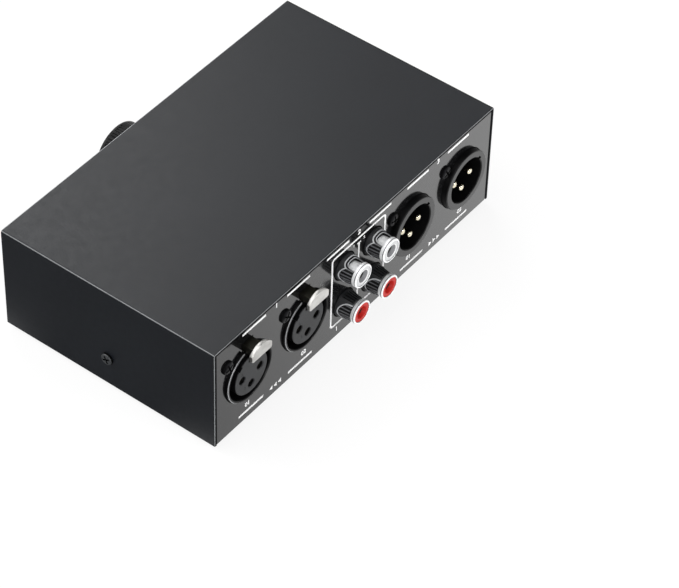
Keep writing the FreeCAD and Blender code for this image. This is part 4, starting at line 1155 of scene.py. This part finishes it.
def addRearPrint():
    spec = rearPrint
    y, proud, half = rearY, spec["proud"], spec["line"] / 2
    topZ, lowZ, small = spec["topZ"], spec["lowZ"], spec["smallFigure"]
    centres = (sum(inserts) / 2, 0.0, sum(pins) / 2)
    marks, stripes = [], []
    for x in centres:
        for side in (-1, 1):
            for key, z in (("topRule", topZ), ("lowRule", lowZ)):
                if x or key == "topRule":  # the middle group has no lower rule
                    stripes.append((*sorted(x + side * end for end in spec[key]), z - half, z + half))
    for x, turn in ((centres[0], quarter), (centres[2], -quarter)):  # arrows are small triangles
        marks += [rod("arrow", 3, spec["arrow"], proud, (x + step, y + proud / 2, lowZ), (quarter, turn, 0))
                  for step in spec["arrowSteps"]]
    half, (low, high) = spec["frameHalf"], spec["frameZ"]
    marks.append(outlineFrame(-half, half, low, high, spec["frameCorner"], spec["frameLine"], y, proud))
    line, (low, high) = spec["frameLine"] / 2, spec["divider"]
    bar, (under, over) = spec["dividerBar"], spec["dividerCap"]
    stripes += [(-line, line, low, high), (-bar, bar, high - under, high + over)]
    marks += [block("stripe", (x0, y, z0), (x1, y + proud, z1)) for x0, x1, z0, z1 in stripes]
    figures = [(str(order), x, topZ, spec["figure"]) for order, x in enumerate(centres, 1)]
    figures += [(words, x, spec["labelZ"], small) for x, words in zip(inserts + pins, ("01", "02") * 2)]
    across, up = spec["jackFigureAt"]
    for words, side in (("1", 1), ("2", -1)):
        figures += [(words, side * across, high + up, spec["jackFigure"]),
                    (words, side * spec["groupFigureX"], lowZ, small)]
    finishPrint("rearPrint", marks, figures, y, proud, True)


# printed scale round the knob, a frame and numbers on the front panel
frontPrint = {
    "proud": 0.04, "scaleIn": 12.0, "scaleOut": 13.4, "tickHalf": 0.14, "numberAt": 15.4, "number": 2.2,
    "numberLow": 4.5, "sweep": 150, "ticks": 10, "figure": 2.6, "figureStep": 5.5,
    "frame": (64.5, 4.6, 38.2), "line": 0.4, "corner": 2.0,
}


def addFrontPrint():
    spec = frontPrint
    y, film = frontY, spec["proud"]
    z = middleOf("volume_knob").z
    long, half = (spec["scaleOut"] - spec["scaleIn"]) / 2, spec["tickHalf"]
    reach, at = (spec["scaleIn"] + spec["scaleOut"]) / 2, spec["numberAt"]
    marks, figures = [], []
    for i in range(spec["ticks"] + 1):
        turn = radians(-spec["sweep"] + i * 2 * spec["sweep"] / spec["ticks"])
        along, up = sin(turn), cos(turn)
        x, middle = reach * along, z + reach * up
        marks.append(block("tick", (x - half, y - film, middle - long), (x + half, y, middle + long), turn))
        if z + at * up > spec["numberLow"]:
            figures.append((str(i), at * along, z + at * up, spec["number"]))
    for side in ("input", "output"):
        middle, step = middleOf(side + "_button"), spec["figureStep"]
        figures += [("1", middle.x - step, middle.z, spec["figure"]),
                    ("2", middle.x + step, middle.z, spec["figure"])]
    half, low, high = spec["frame"]
    marks.append(outlineFrame(-half, half, low, high, spec["corner"], spec["line"], y - film, film))
    finishPrint("frontPrint", marks, figures, y, film, False)


addRearPrint()
addFrontPrint()
print("print ready")
